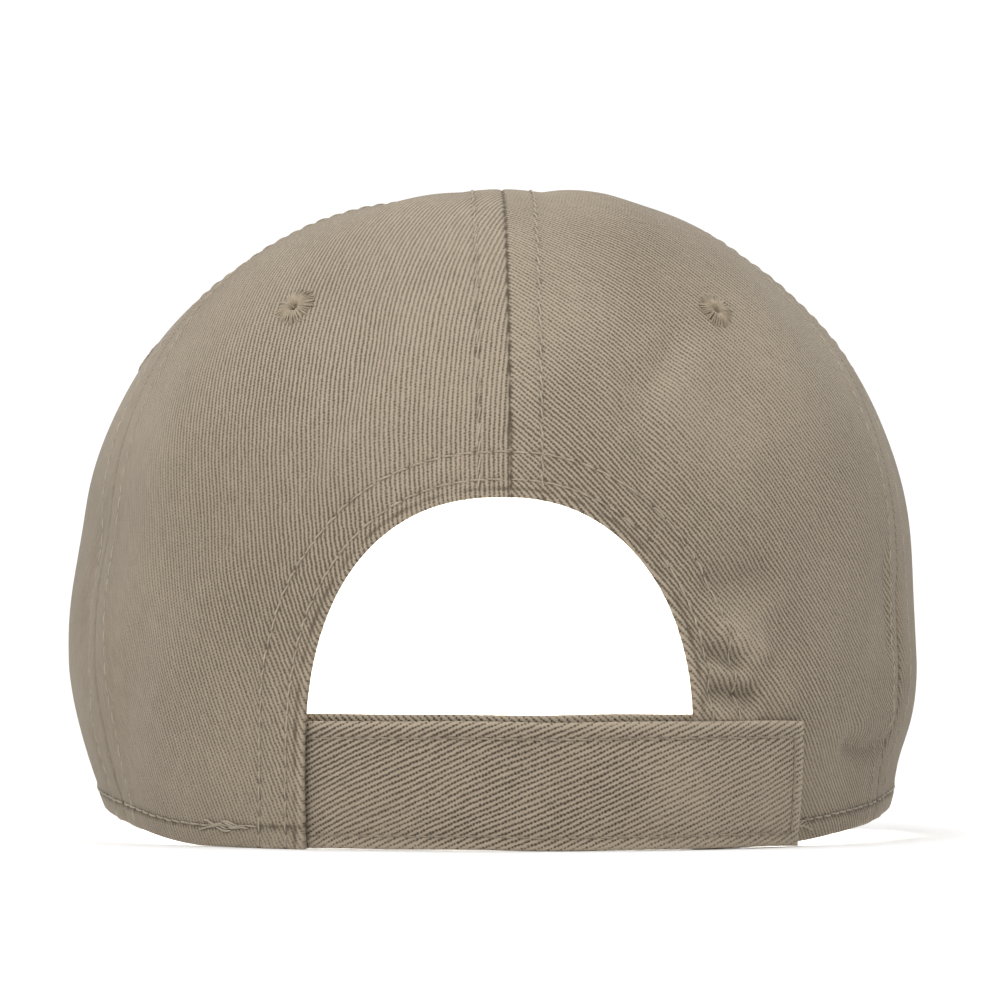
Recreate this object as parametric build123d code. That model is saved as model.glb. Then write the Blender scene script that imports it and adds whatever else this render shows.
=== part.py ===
"""Six-panel cotton twill baseball cap with a curved visor and a hook-and-loop back strap.

Millimetres, +Z up.  The origin is the centre of the head opening, in the plane of the rim.
The wearer faces -Y, so the visor points to -Y and the strap is at +Y; the wearer's left is +X.
Angles round the crown are measured from the centre back (+Y) towards the wearer's left (+X).
"""
from build123d import *
import math
import os

os.makedirs("parts", exist_ok=True)

# ---- crown form -------------------------------------------------------------------------
rim_half_width = 82.3
rim_half_length = 96.0
widest_half_width = 92.2
widest_half_length = 98.0
widest_height = 38.2          # the crown swells out from the rim up to this height
pole_height = 137.2           # where the six panels meet under the button
flare_power = 1.67            # how the rim draws in below the widest level
dome_power = 2.36             # superellipse power of the dome, 2 would be round
pole_tilt = 8.0               # the top leans forward, so the button sits in front of the ridge
tilt_power = 1.2
flare_share = 0.22            # share of the station scale that lies below the widest level
top_station = 0.981           # panels stop here, on a small hole under the button
meridian_stations = 15

# ---- panels and linings (depths are measured inwards from the outer face) ---------------
panel_thickness = 1.0
lining_outer = 1.1            # buckram and opening facing lie against the panels
lining_inner = 1.6
tape_outer = 1.7              # seam tapes lie against the linings
tape_inner = 2.2
tape_width = 13.0
tape_button_gap = 15.0        # tapes stop this far from the button's axis
rear_seam_angle = 67.0        # rear panel to side panel
front_seam_angle = 122.0      # side panel to front panel, and the visor's corner
seam_gap_angle = 0.06
meridian_step = 8.0
rim_trim = 0.6                # the rear panels are cut off flat at the table plane
rim_trim_fade = 8.0           # degrees over which the cut runs out
layer_play = 0.05             # gap between layers that lie on each other
lining_lift = 1.0             # linings start this far above the rim
edge_clearance = 0.3          # linings stay this far from the opening's edge
buckram_top_station = 0.93
tape_top_station = 0.95

# ---- rear opening -----------------------------------------------------------------------
opening_half_width = 38.8
opening_shift = 2.2           # the opening sits a little to the wearer's left of the back seam
opening_top = 70.3
opening_spring = 20.0         # the arch springs from this height
opening_power = 2.3
facing_width = 11.0
facing_lift = 0.5
facing_top_station = 0.75
facing_reach = 45.0           # degrees round the crown, wider than the facing itself
cutter_depth = 20.0           # the opening's outline runs on below the rim

# ---- sweatband --------------------------------------------------------------------------
sweatband_outer = 2.4
sweatband_inner = 4.6
sweatband_skin = 0.45
sweatband_lift = 0.6
sweatband_height = 32.0
core_inset = 0.8              # the foam core stays this far inside the sleeve
sweatband_end_angle = 33.5

# ---- eyelets ----------------------------------------------------------------------------
eyelet_hole_radius = 1.15
eyelet_barrel_radius = 1.9
eyelet_flange_radius = 4.3
eyelet_flange_thickness = 0.6
eyelet_station = 0.554
eyelet_clearance = 0.1
eyelet_foot = 0.3             # the flange stands just clear of the curved cloth

# ---- visor ------------------------------------------------------------------------------
visor_centre_height = 21.05   # height of the visor's top face at the crown, on the centre line
visor_curve = 0.00275         # drop across the visor, per square millimetre
visor_slope = 0.087           # drop towards the front
visor_half_width = 80.0
visor_widest_y = -82.0
visor_front_y = -164.0
visor_power = 2.3
visor_inner_half_width = 83.5     # the visor's inner edge is tucked under the crown's rim
visor_inner_half_length = 94.5
visor_corner_height = 8.0     # height at which the visor's corner meets the crown
visor_corner_lean = 0.45      # how far the side edge splays outwards there
visor_cover = 0.6
visor_board = 1.8
visor_gap = 0.1
visor_board_inset = 1.5
rim_rise_start = 42.0         # the rim leaves the table plane here on its way to the visor
rest_angle = 34.0             # a place on the flat part of the rim

# ---- button -----------------------------------------------------------------------------
button_radius = 8.0
button_height = 3.4
button_cloth = 0.6
button_edge = 1.2
rivet_radius = 2.2
backing_radius = 7.5
backing_thickness = 0.8
backing_drop = 0.6            # below the seam tapes
button_foot = 0.15
metal_wall = 0.5
rivet_head_gap = 0.45
rivet_tail = 0.4

# ---- back straps ------------------------------------------------------------------------
strap_width = 25.4
hook_strap_bottom = 0.2
loop_strap_bottom = 1.6
strap_cloth = 1.5
strap_tape = 0.8
strap_tape_width = 20.0
strap_clearance = 0.3
left_edge_angle = 25.6        # the opening's edges at strap height
right_edge_angle = -22.6
hinge_inset_angle = 1.4       # the straps fold this far inside the opening's edges
hook_strap_end_angle = -38.6
strap_tab_end_angle = 33.0
loop_tip_angle = 31.0
hook_tape_angles = (-37.2, -2.0)
loop_tape_angles = (-17.5, 29.0)
hinge_gap_angle = 0.25
loop_nest_start = 2.0         # degrees past the opening's edge where the loop strap steps in
loop_nest_span = 9.0
strap_step = 4.0


def smooth(value):
    """Smooth step from 0 to 1."""
    value = min(1.0, max(0.0, value))
    return value * value * (3 - 2 * value)


def crown_section(station):
    """Half width, half length, height and tilt of the crown's section at a station."""
    if station < flare_share:
        height = widest_height * station / flare_share
        drawn_in = ((widest_height - height) / widest_height) ** flare_power
        half_width = widest_half_width - (widest_half_width - rim_half_width) * drawn_in
        half_length = widest_half_length - (widest_half_length - rim_half_length) * drawn_in
        return half_width, half_length, height, 0.0
    angle = (station - flare_share) / (1 - flare_share) * math.pi / 2
    spread = max(math.cos(angle), 0.0) ** (2 / dome_power)
    lift = math.sin(angle) ** (2 / dome_power)
    height = widest_height + (pole_height - widest_height) * lift
    tilt = math.tan(math.radians(pole_tilt)) * math.sin(angle) ** tilt_power
    return widest_half_width * spread, widest_half_length * spread, height, tilt


def outer_point(angle, station):
    """Radius and height of the crown's outer face in the vertical plane at an angle."""
    half_width, half_length, height, tilt = crown_section(station)
    across = math.sin(math.radians(angle))
    along = math.cos(math.radians(angle))
    radius = 1 / math.hypot(across / half_width, along / half_length)
    return radius, height + radius * along * tilt


def outer_slope(angle, station):
    """Unit direction of the outer face, upwards, in the vertical plane at an angle."""
    step = 0.002
    low = outer_point(angle, station - step if station > step else station)
    high = outer_point(angle, station + step)
    length = math.dist(low, high)
    return (high[0] - low[0]) / length, (high[1] - low[1]) / length


def layer_point(angle, station, depth):
    """Radius and height of a layer that lies a depth inside the outer face."""
    radius, height = outer_point(angle, station)
    slope_r, slope_z = outer_slope(angle, station)
    return radius - depth * slope_z, height + depth * slope_r


def in_space(angle, radius, height):
    """Point at an angle round the crown."""
    across = math.sin(math.radians(angle))
    along = math.cos(math.radians(angle))
    return Vector(radius * across, radius * along, height)


def visor_top(x, y):
    """Height of the visor's top face."""
    return visor_centre_height - visor_curve * x * x + visor_slope * (y + rim_half_length)


def rim_height(angle):
    """The rim lies on the table at the back and rises to meet the visor at the front."""
    radius, _ = outer_point(angle, 0.0)
    place = in_space(angle, radius, 0.0)
    turn = abs(angle if angle <= 180 else 360 - angle)
    share = smooth((turn - rim_rise_start) / (front_seam_angle - rim_rise_start))
    return visor_top(place.X, place.Y) * share


def station_at_height(height):
    """Station of a height below the widest level."""
    return height / widest_height * flare_share


def table_cut(angle):
    """How far the rear panels run on below the table plane before they are cut off flat."""
    turn = abs(angle if angle <= 180 else 360 - angle)
    return rim_trim * (1 - smooth((turn - rim_rise_start) / rim_trim_fade))


def meridian_wire(angle, outer_depth, inner_depth, lift=0.0, top=top_station, top_height=None,
                  overrun=False):
    """Closed outline of a layer in one vertical plane, from the rim up to the top station."""
    floor = rim_height(angle) + lift
    if overrun:
        floor -= table_cut(angle)
    start = station_at_height(floor)
    if top_height is not None:
        top = station_at_height(rim_height(angle) + top_height)
    curves = []
    for depth in (outer_depth, inner_depth):
        points = []
        for count in range(meridian_stations + 1):
            station = start + (top - start) * count / meridian_stations
            radius, height = layer_point(angle, station, depth)
            if count == 0:
                slope_r, slope_z = outer_slope(angle, station)
                radius += (floor - height) * slope_r / slope_z
                height = floor
            points.append(in_space(angle, radius, height))
        curves.append(points)
    outside, inside = curves
    return Wire([
        Edge.make_spline(outside),
        Edge.make_line(outside[-1], inside[-1]),
        Edge.make_spline(inside),
        Edge.make_line(inside[0], outside[0]),
    ])


def angle_steps(start, end, step=meridian_step):
    count = max(2, math.ceil(abs(end - start) / step))
    return [start + (end - start) * index / count for index in range(count + 1)]


def crown_layer(start, end, outer_depth, inner_depth, **limits):
    """A layer of the crown between two angles."""
    wires = [meridian_wire(angle, outer_depth, inner_depth, **limits)
             for angle in angle_steps(start, end)]
    return Solid.make_loft(wires)


def arch_cutter(margin=0.0):
    """Prism through the back of the crown with the opening's arched outline."""
    half_width = opening_half_width + margin
    rise = opening_top + margin - opening_spring
    quarter = 8
    points = []
    for index in range(2 * quarter + 1):
        turn = math.pi * index / (2 * quarter)
        across = math.cos(turn)
        x = math.copysign(abs(across) ** (2 / opening_power), across) * half_width
        z = opening_spring + math.sin(turn) ** (2 / opening_power) * rise
        points.append((x, z))
    below = -cutter_depth
    points = [(x + opening_shift, z) for x, z in points]
    arch = Spline(*points, tangents=[(0, 1), (0, -1)])
    sides = Polyline(points[-1], (points[-1][0], below), (points[0][0], below), points[0])
    outline = make_face(Wire(arch.edges() + sides.edges()))
    depth = 2 * widest_half_length
    return extrude(Plane.XZ * outline, -depth, dir=(0, -1, 0))


def surface_plane(angle, station):
    """Plane on the outer face: its Z points out of the cloth."""
    radius, height = outer_point(angle, station)
    slope_r, slope_z = outer_slope(angle, station)
    across = math.sin(math.radians(angle))
    along = math.cos(math.radians(angle))
    outward = Vector(slope_z * across, slope_z * along, -slope_r)
    sideways = Vector(along, -across, 0)
    return Plane(origin=in_space(angle, radius, height), x_dir=sideways, z_dir=outward)


def eyelet_hole(angle):
    reach = 8.0
    hole = Cylinder(eyelet_barrel_radius + eyelet_clearance, reach)
    return surface_plane(angle, eyelet_station) * hole


def eyelet(angle, depth):
    """Buttonhole-stitched eyelet: a thread barrel with a rounded thread flange outside."""
    hole = eyelet_hole_radius
    barrel = eyelet_barrel_radius
    flange = eyelet_flange_radius
    foot = eyelet_foot
    crown_top = foot + eyelet_flange_thickness
    shoulder = (flange + hole) / 2
    profile = make_face(
        Line((hole, -depth), (barrel, -depth))
        + Line((barrel, -depth), (barrel, foot))
        + Line((barrel, foot), (flange, foot))
        + ThreePointArc((flange, foot), (shoulder, crown_top), (hole, foot))
        + Line((hole, foot), (hole, -depth))
    )
    ring = revolve(Plane.XZ * profile, Axis.Z)
    return surface_plane(angle, eyelet_station) * ring


def save(name, shape):
    shape.label = name
    export_step(shape, f"parts/{name}.step")


# ---- crown panels -----------------------------------------------------------------------
panels = {
    "rear_panel_left": (0.0, rear_seam_angle),
    "side_panel_left": (rear_seam_angle, front_seam_angle),
    "front_panel_left": (front_seam_angle, 180.0),
    "front_panel_right": (180.0, 360.0 - front_seam_angle),
    "side_panel_right": (360.0 - front_seam_angle, 360.0 - rear_seam_angle),
    "rear_panel_right": (360.0 - rear_seam_angle, 360.0),
}
opening = arch_cutter()
table_size = 3 * widest_half_length
under_table = Box(table_size, table_size, table_size,
                  align=(Align.CENTER, Align.CENTER, Align.MAX))
for name, (start, end) in panels.items():
    middle = (start + end) / 2
    panel = crown_layer(start + seam_gap_angle, end - seam_gap_angle, 0.0, panel_thickness,
                        overrun=name.startswith("rear"))
    panel -= eyelet_hole(middle)
    if name.startswith("rear"):
        panel -= opening
        panel -= under_table
    save(name, panel)
    eyelet_depth = panel_thickness + eyelet_clearance
    if name.startswith("front"):
        lining = crown_layer(start + seam_gap_angle, end - seam_gap_angle,
                             lining_outer, lining_inner, lift=lining_lift,
                             top=buckram_top_station)
        lining -= eyelet_hole(middle)
        save(name.replace("panel", "buckram"), lining)
        eyelet_depth = lining_inner + eyelet_clearance
    save(name.replace("panel", "eyelet"), eyelet(middle, eyelet_depth))

# ---- facing round the rear opening ------------------------------------------------------
for side, (start, end) in {"left": (seam_gap_angle, facing_reach),
                           "right": (-facing_reach, -seam_gap_angle)}.items():
    facing = crown_layer(start, end, lining_outer, lining_inner, lift=facing_lift,
                         top=facing_top_station)
    facing &= arch_cutter(facing_width)
    facing -= arch_cutter(edge_clearance)
    save(f"opening_facing_{side}", facing)

# ---- seam tapes -------------------------------------------------------------------------
tapes = {
    "back_seam_tape": 0.0,
    "rear_seam_tape_left": rear_seam_angle,
    "side_seam_tape_left": front_seam_angle,
    "front_seam_tape": 180.0,
    "side_seam_tape_right": 360.0 - front_seam_angle,
    "rear_seam_tape_right": 360.0 - rear_seam_angle,
}
tape_spread = 26.0
tall = 2 * pole_height
long = 2 * widest_half_length
for name, angle in tapes.items():
    strip = crown_layer(angle - tape_spread, angle + tape_spread, tape_outer, tape_inner,
                        lift=lining_lift, top=tape_top_station)
    blank = Box(tape_width, long, tall, align=(Align.CENTER, Align.MIN, Align.CENTER))
    blank = Pos(0, tape_button_gap, 0) * blank
    strip &= Rot(0, 0, -angle) * blank
    if angle == 0.0:
        strip -= arch_cutter(edge_clearance)
    save(name, strip)

# ---- sweatband: a folded cloth sleeve with a thin foam core -----------------------------
band_start = sweatband_end_angle
band_end = 360.0 - sweatband_end_angle
sleeve = crown_layer(band_start, band_end, sweatband_outer, sweatband_inner,
                     lift=sweatband_lift, top_height=sweatband_height)
core_outer = sweatband_outer + sweatband_skin
core_inner = sweatband_inner - sweatband_skin
core_lift = sweatband_lift + core_inset
core_top = sweatband_height - core_inset
sleeve -= crown_layer(band_start + core_inset, band_end - core_inset, core_outer, core_inner,
                      lift=core_lift, top_height=core_top)
foam = crown_layer(band_start + core_inset + layer_play, band_end - core_inset - layer_play,
                   core_outer + layer_play, core_inner - layer_play,
                   lift=core_lift + layer_play, top_height=core_top - layer_play)
save("sweatband_sleeve", sleeve)
save("sweatband_foam", foam)


# ---- visor ------------------------------------------------------------------------------
prism_reach = 80.0            # half height of the upright prism that cuts the visor out
slab_half_width = 120.0       # the arched sheet is wider and longer than the visor
slab_length = 250.0


def visor_plan(inset=0.0):
    """Prism with the visor's outline seen from above, open towards the crown."""
    half_width = visor_half_width - inset
    length = visor_widest_y - visor_front_y - inset
    quarter = 8
    front = []
    for index in range(2 * quarter + 1):
        turn = math.pi * index / (2 * quarter)
        across = math.cos(turn)
        x = math.copysign(abs(across) ** (2 / visor_power), across) * half_width
        front.append((x, visor_widest_y - math.sin(turn) ** (2 / visor_power) * length))
    corner_radius, _ = outer_point(front_seam_angle, station_at_height(visor_corner_height))
    corner = in_space(front_seam_angle, corner_radius - inset, 0.0)
    edge = Spline(*front, tangents=[(0, -1), (0, 1)])
    left = Spline((corner.X, corner.Y), front[0], tangents=[(visor_corner_lean, -1), (0, -1)])
    right = Spline(front[-1], (-corner.X, corner.Y), tangents=[(0, 1), (visor_corner_lean, 1)])
    back = Line((-corner.X, corner.Y), (corner.X, corner.Y))
    outline = make_face(Wire(left.edges() + edge.edges() + right.edges() + back.edges()))
    plan = extrude(outline, prism_reach, both=True)
    crown_plan = Ellipse(visor_inner_half_width, visor_inner_half_length)
    return plan - extrude(crown_plan, prism_reach + 1, both=True)


def visor_slab(top, bottom):
    """Arched sheet between two depths below the visor's top face."""
    reach = slab_half_width
    centre = visor_centre_height + visor_slope * rim_half_length
    side = centre - visor_curve * reach * reach
    peak = centre + visor_curve * reach * reach
    upper = Bezier((-reach, side - top), (0, peak - top), (reach, side - top))
    lower = Bezier((reach, side - bottom), (0, peak - bottom), (-reach, side - bottom))
    ends = [Edge.make_line(upper @ 1, lower @ 0), Edge.make_line(lower @ 1, upper @ 0)]
    outline = make_face(Wire(upper.edges() + lower.edges() + ends))
    return extrude(Plane.XZ * outline, slab_length, dir=(0, -1, -visor_slope))


cover_bottom = visor_gap + visor_cover
board_top = cover_bottom + visor_gap
board_bottom = board_top + visor_board
under_top = board_bottom + visor_gap
under_bottom = under_top + visor_cover
save("visor_upper_cover", visor_plan() & visor_slab(visor_gap, cover_bottom))
save("visor_board", visor_plan(visor_board_inset) & visor_slab(board_top, board_bottom))
save("visor_under_cover", visor_plan() & visor_slab(under_top, under_bottom))

# ---- button on the pole -----------------------------------------------------------------
pole_plane = Plane(origin=(0, 0, pole_height), x_dir=(1, 0, 0),
                   z_dir=(0, -math.sin(math.radians(pole_tilt)),
                          math.cos(math.radians(pole_tilt))))


def button_dome(radius, height, edge):
    """Solid dome: a short cylinder under a spherical cap."""
    rise = height - edge
    ball = (radius ** 2 + rise ** 2) / (2 * rise)
    drum = Cylinder(radius, height, align=(Align.CENTER, Align.CENTER, Align.MIN))
    return drum & Pos(0, 0, height - ball) * Sphere(ball)


def button_cap(radius, height, edge, wall):
    """Domed cap of even wall thickness, standing on its open edge."""
    hollow = button_dome(radius - wall, height - wall, edge - wall / 2)
    return button_dome(radius, height, edge) - hollow


metal_radius = button_radius - button_cloth - layer_play
metal_height = button_height - button_cloth - layer_play
button_place = pole_plane * Pos(0, 0, button_foot)
rivet_top = metal_height - metal_wall - rivet_head_gap
rivet_bottom = -(tape_inner + backing_thickness + rivet_tail)
rivet = Cylinder(rivet_radius, rivet_top - rivet_bottom,
                 align=(Align.CENTER, Align.CENTER, Align.MIN))
backing = Cylinder(backing_radius, backing_thickness)
backing -= Cylinder(rivet_radius + layer_play, 2 * backing_thickness)
save("button_cloth_cover", button_place * button_cap(button_radius, button_height,
                                                     button_edge, button_cloth))
save("button_shell", button_place * button_cap(metal_radius, metal_height,
                                               button_edge - button_cloth / 2, metal_wall))
save("button_rivet", button_place * Pos(0, 0, rivet_bottom) * rivet)
save("button_backing_plate", button_place * Pos(0, 0, -tape_inner - backing_drop) * backing)


# ---- back straps ------------------------------------------------------------------------
half_cloth = strap_cloth / 2
tape_near = half_cloth + layer_play
tape_far = tape_near + strap_tape
hook_outside_depth = -(strap_clearance + tape_far)
hook_inside_depth = lining_inner + strap_clearance + half_cloth
strap_nesting = 2 * tape_far + strap_clearance


def hook_depth(angle):
    """Mid depth of the hook strap: outside the right panel, inside the left panel."""
    share = smooth((angle - right_edge_angle) / (left_edge_angle - right_edge_angle))
    return hook_outside_depth + (hook_inside_depth - hook_outside_depth) * share


def loop_depth(angle):
    """Mid depth of the loop strap: inside the right panel, then just under the hook strap."""
    share = smooth((angle - right_edge_angle - loop_nest_start) / loop_nest_span)
    return hook_inside_depth * (1 - share) + (hook_depth(angle) + strap_nesting) * share


def strap_point(angle, depth, height):
    """Point of a strap, which leans with the crown, at a depth inside the outer face."""
    station = station_at_height(height)
    radius, _ = outer_point(angle, station)
    _, slope_z = outer_slope(angle, station)
    return in_space(angle, radius - depth / slope_z, height)


def strap_band(angles, depth_of, outer, inner, bottom, top):
    """Band that follows a depth law between two angles."""
    start, end = angles
    heights = [bottom + (top - bottom) * index / 4 for index in range(5)]
    wires = []
    for angle in angle_steps(start, end, strap_step):
        depth = depth_of(angle)
        outside = [strap_point(angle, depth + outer, height) for height in heights]
        inside = [strap_point(angle, depth + inner, height) for height in heights]
        wires.append(Wire([
            Edge.make_spline(outside),
            Edge.make_line(outside[-1], inside[-1]),
            Edge.make_spline(inside),
            Edge.make_line(inside[0], outside[0]),
        ]))
    return Solid.make_loft(wires)


margin = (strap_width - strap_tape_width) / 2
left_hinge_angle = left_edge_angle - hinge_inset_angle
right_hinge_angle = right_edge_angle + hinge_inset_angle
hook_top = hook_strap_bottom + strap_width
loop_top = loop_strap_bottom + strap_width

save("hook_strap", strap_band((hook_strap_end_angle, left_hinge_angle - hinge_gap_angle),
                              hook_depth, -half_cloth, half_cloth, hook_strap_bottom, hook_top))
save("hook_tape", strap_band(hook_tape_angles, hook_depth, tape_near, tape_far,
                             hook_strap_bottom + margin, hook_top - margin))
save("hook_strap_tab", strap_band((left_hinge_angle + hinge_gap_angle, strap_tab_end_angle),
                                  hook_depth, -half_cloth, half_cloth,
                                  hook_strap_bottom, hook_top))
save("loop_strap", strap_band((right_hinge_angle + hinge_gap_angle, loop_tip_angle),
                              loop_depth, -half_cloth, half_cloth, loop_strap_bottom, loop_top))
save("loop_tape", strap_band(loop_tape_angles, loop_depth, -tape_far, -tape_near,
                             loop_strap_bottom + margin, loop_top - margin))
save("loop_strap_tab", strap_band((-strap_tab_end_angle, right_hinge_angle - hinge_gap_angle),
                                  loop_depth, -half_cloth, half_cloth,
                                  loop_strap_bottom, loop_top))

# ---- joint places: each strap folds about the face that it folds towards -----------------
for name, angle, depth_of, fold in (("hook", left_hinge_angle, hook_depth, -half_cloth),
                                    ("loop", right_hinge_angle, loop_depth, half_cloth)):
    foot = strap_point(angle, depth_of(angle) + fold, hook_strap_bottom)
    head = strap_point(angle, depth_of(angle) + fold, hook_strap_bottom + strap_width)
    middle = (foot + head) / 2
    axis = (head - foot).normalized()
    print(f"{name} strap hinge at {middle.X:.3f}, {middle.Y:.3f}, {middle.Z:.3f}",
          f"along {axis.X:.4f}, {axis.Y:.4f}, {axis.Z:.4f}")
rest = in_space(rest_angle, outer_point(rest_angle, 0.0)[0] - panel_thickness / 2, 0.0)
print(f"rim rest face at {rest.X:.3f}, {rest.Y:.3f}, {rest.Z:.3f}")
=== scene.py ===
"""Looks of the six-panel twill cap: sewn crown, visor, button, sweatband and hook-and-loop strap."""
import bpy
import math
import numpy as np
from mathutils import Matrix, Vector


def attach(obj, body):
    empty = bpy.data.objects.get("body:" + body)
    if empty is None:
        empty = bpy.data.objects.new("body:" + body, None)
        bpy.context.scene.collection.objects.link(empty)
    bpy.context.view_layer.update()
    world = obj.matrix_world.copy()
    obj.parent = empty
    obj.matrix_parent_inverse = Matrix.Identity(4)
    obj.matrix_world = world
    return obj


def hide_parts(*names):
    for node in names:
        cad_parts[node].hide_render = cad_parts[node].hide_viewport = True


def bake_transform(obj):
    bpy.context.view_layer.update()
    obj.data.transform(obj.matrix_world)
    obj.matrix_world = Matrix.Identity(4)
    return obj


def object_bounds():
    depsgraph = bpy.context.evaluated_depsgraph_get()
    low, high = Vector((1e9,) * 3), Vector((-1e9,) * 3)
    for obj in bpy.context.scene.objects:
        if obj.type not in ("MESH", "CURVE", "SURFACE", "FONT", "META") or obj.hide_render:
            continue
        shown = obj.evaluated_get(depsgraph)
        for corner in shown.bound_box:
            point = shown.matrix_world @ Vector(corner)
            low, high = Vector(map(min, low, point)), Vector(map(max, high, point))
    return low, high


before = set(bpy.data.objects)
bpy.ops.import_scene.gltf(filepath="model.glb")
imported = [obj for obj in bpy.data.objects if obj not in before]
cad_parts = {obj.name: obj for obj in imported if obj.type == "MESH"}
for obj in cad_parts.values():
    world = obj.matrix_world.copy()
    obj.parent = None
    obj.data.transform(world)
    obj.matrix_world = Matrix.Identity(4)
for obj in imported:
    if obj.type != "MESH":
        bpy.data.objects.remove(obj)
cad_low, cad_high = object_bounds()
RANDOM = np.random.RandomState(7)
MM = 0.001

# ---- the crown's form, in millimetres, as in the CAD part -------------------------------
RIM_HALF_WIDTH, RIM_HALF_LENGTH = 82.3, 96.0
WIDEST_HALF_WIDTH, WIDEST_HALF_LENGTH, WIDEST_HEIGHT = 92.2, 98.0, 38.2
POLE_HEIGHT, POLE_TILT, TILT_POWER = 137.2, 8.0, 1.2
FLARE_POWER, DOME_POWER, FLARE_SHARE = 1.67, 2.36, 0.22
TOP_STATION = 0.981
REAR_SEAM, FRONT_SEAM = 67.0, 122.0
SEAMS = (0.0, REAR_SEAM, FRONT_SEAM, 180.0, 360.0 - FRONT_SEAM, 360.0 - REAR_SEAM, 360.0)
RIM_RISE_START = 42.0

OPENING_HALF_WIDTH, OPENING_TOP, OPENING_SPRING, OPENING_POWER = 38.8, 70.3, 20.0, 2.3
OPENING_SHIFT = 2.2           # the opening sits a little to the wearer's left of the seam

VISOR_HEIGHT, VISOR_CURVE, VISOR_SLOPE = 21.05, 0.00275, 0.087
VISOR_HALF_WIDTH, VISOR_WIDEST_Y, VISOR_FRONT_Y, VISOR_POWER = 80.0, -82.0, -164.0, 2.3
VISOR_THICKNESS, VISOR_TUCK = 3.3, 2.0

STRAP_WIDTH, HOOK_STRAP_BOTTOM, LOOP_STRAP_BOTTOM = 25.4, 0.2, 1.6
STRAP_CLOTH, STRAP_TAPE, STRAP_TAPE_WIDTH = 1.5, 0.8, 20.0
LEFT_EDGE, RIGHT_EDGE = 25.6, -22.6
HOOK_END, TAB_END, LOOP_TIP = -38.6, 33.0, 31.0
HOOK_OUTSIDE, HOOK_INSIDE, STRAP_NESTING = -1.9, 2.65, 3.5

# ---- sewing -----------------------------------------------------------------------------
STITCH, THREAD = 3.5, 0.21    # length of a stitch and radius of its thread
SEAM_ROW, HEM_ROW = 6.3, 4.6  # topstitching beside each seam and above the rim
ARCH_ROWS = (3.5, 9.0)        # topstitching round the opening
VISOR_ROWS = (3.2, 10.0, 16.8, 23.6, 30.4, 37.2, 44.0, 50.8)
STRAP_ROWS, STRAP_END_ROW = (2.6, STRAP_WIDTH - 3.4), 2.8
EDGE_ROLL = 0.8               # radius of a turned edge
WALE, STRAP_WALE = 0.95, 1.01  # twill line spacing
DRAG, DRAG_START = 0.22, 6.0  # how far the twill is dragged beside the opening, and how softly
EYELET_STATION, EYELET_HOLE, EYELET_RIM, PANEL_HOLE = 0.554, 0.72, 4.6, 1.75


# ---- numbers and lines ------------------------------------------------------------------
def smooth(value):
    value = np.clip(value, 0, 1)
    return value * value * (3 - 2 * value)


def bump(distance, width):
    return np.exp(-(distance / width) ** 2)


def soft_step(value, softness):
    """0 below zero and the value itself above, with a soft bend between."""
    return np.log1p(np.exp(np.clip(value / softness, -20, 20))) * softness


def unit(vectors):
    return vectors / np.maximum(np.linalg.norm(vectors, axis=-1, keepdims=True), 1e-12)


def lengths_along(line):
    return np.concatenate([[0], np.cumsum(np.linalg.norm(np.diff(line, axis=0), axis=1))])


def sample(at, steps, line):
    """Points of a line at given lengths, or at given steps, along it."""
    return np.stack([np.interp(at, steps, line[:, k]) for k in range(line.shape[1])], -1)


def outward(line):
    """Unit normals on the right-hand side of a flat line."""
    run = np.gradient(line, axis=0)
    return unit(np.stack([run[:, 1], -run[:, 0]], 1))


def rounded_arch(count, half_width, power, base, reach):
    """Half a superellipse over a base line, from +x to -x."""
    turn = np.linspace(0, math.pi, count)
    across = np.cos(turn)
    return np.stack([np.sign(across) * np.abs(across) ** (2 / power) * half_width,
                     base + np.sin(turn) ** (2 / power) * reach], 1)


def nearest_on(line, points):
    """Index of the line's nearest point to each point."""
    which = np.zeros(len(points), int)
    for start in range(0, len(points), 4000):
        gap = points[start:start + 4000, None] - line[None]
        which[start:start + 4000] = np.argmin(gap[..., 0] ** 2 + gap[..., 1] ** 2, 1)
    return which


# ---- crown ------------------------------------------------------------------------------
def section(station):
    """Half width, half length, height and tilt of the crown's section at a station."""
    station = np.asarray(station, float)
    low = station < FLARE_SHARE
    low_height = WIDEST_HEIGHT * station / FLARE_SHARE
    drawn_in = np.clip((WIDEST_HEIGHT - low_height) / WIDEST_HEIGHT, 0, 1.2) ** FLARE_POWER
    turn = np.clip((station - FLARE_SHARE) / (1 - FLARE_SHARE), 0, 1) * math.pi / 2
    spread = np.clip(np.cos(turn), 0, 1) ** (2 / DOME_POWER)
    rise = (POLE_HEIGHT - WIDEST_HEIGHT) * np.sin(turn) ** (2 / DOME_POWER)
    tilt = np.where(low, 0, math.tan(math.radians(POLE_TILT)) * np.sin(turn) ** TILT_POWER)

    def half(widest, rim):
        return np.where(low, widest - (widest - rim) * drawn_in, widest * spread)

    return (half(WIDEST_HALF_WIDTH, RIM_HALF_WIDTH), half(WIDEST_HALF_LENGTH, RIM_HALF_LENGTH),
            np.where(low, low_height, WIDEST_HEIGHT + rise), tilt)


def crown_radius(angle, station):
    half_width, half_length, _, _ = section(station)
    turn = np.radians(angle)
    return 1 / np.hypot(np.sin(turn) / half_width, np.cos(turn) / half_length)


def base_point(angle, station):
    """The crown's plain outer face."""
    _, _, height, tilt = section(station)
    radius = crown_radius(angle, station)
    turn = np.radians(angle)
    across, along = radius * np.sin(turn), radius * np.cos(turn)
    return np.stack(np.broadcast_arrays(across, along, height + along * tilt), -1)


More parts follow.
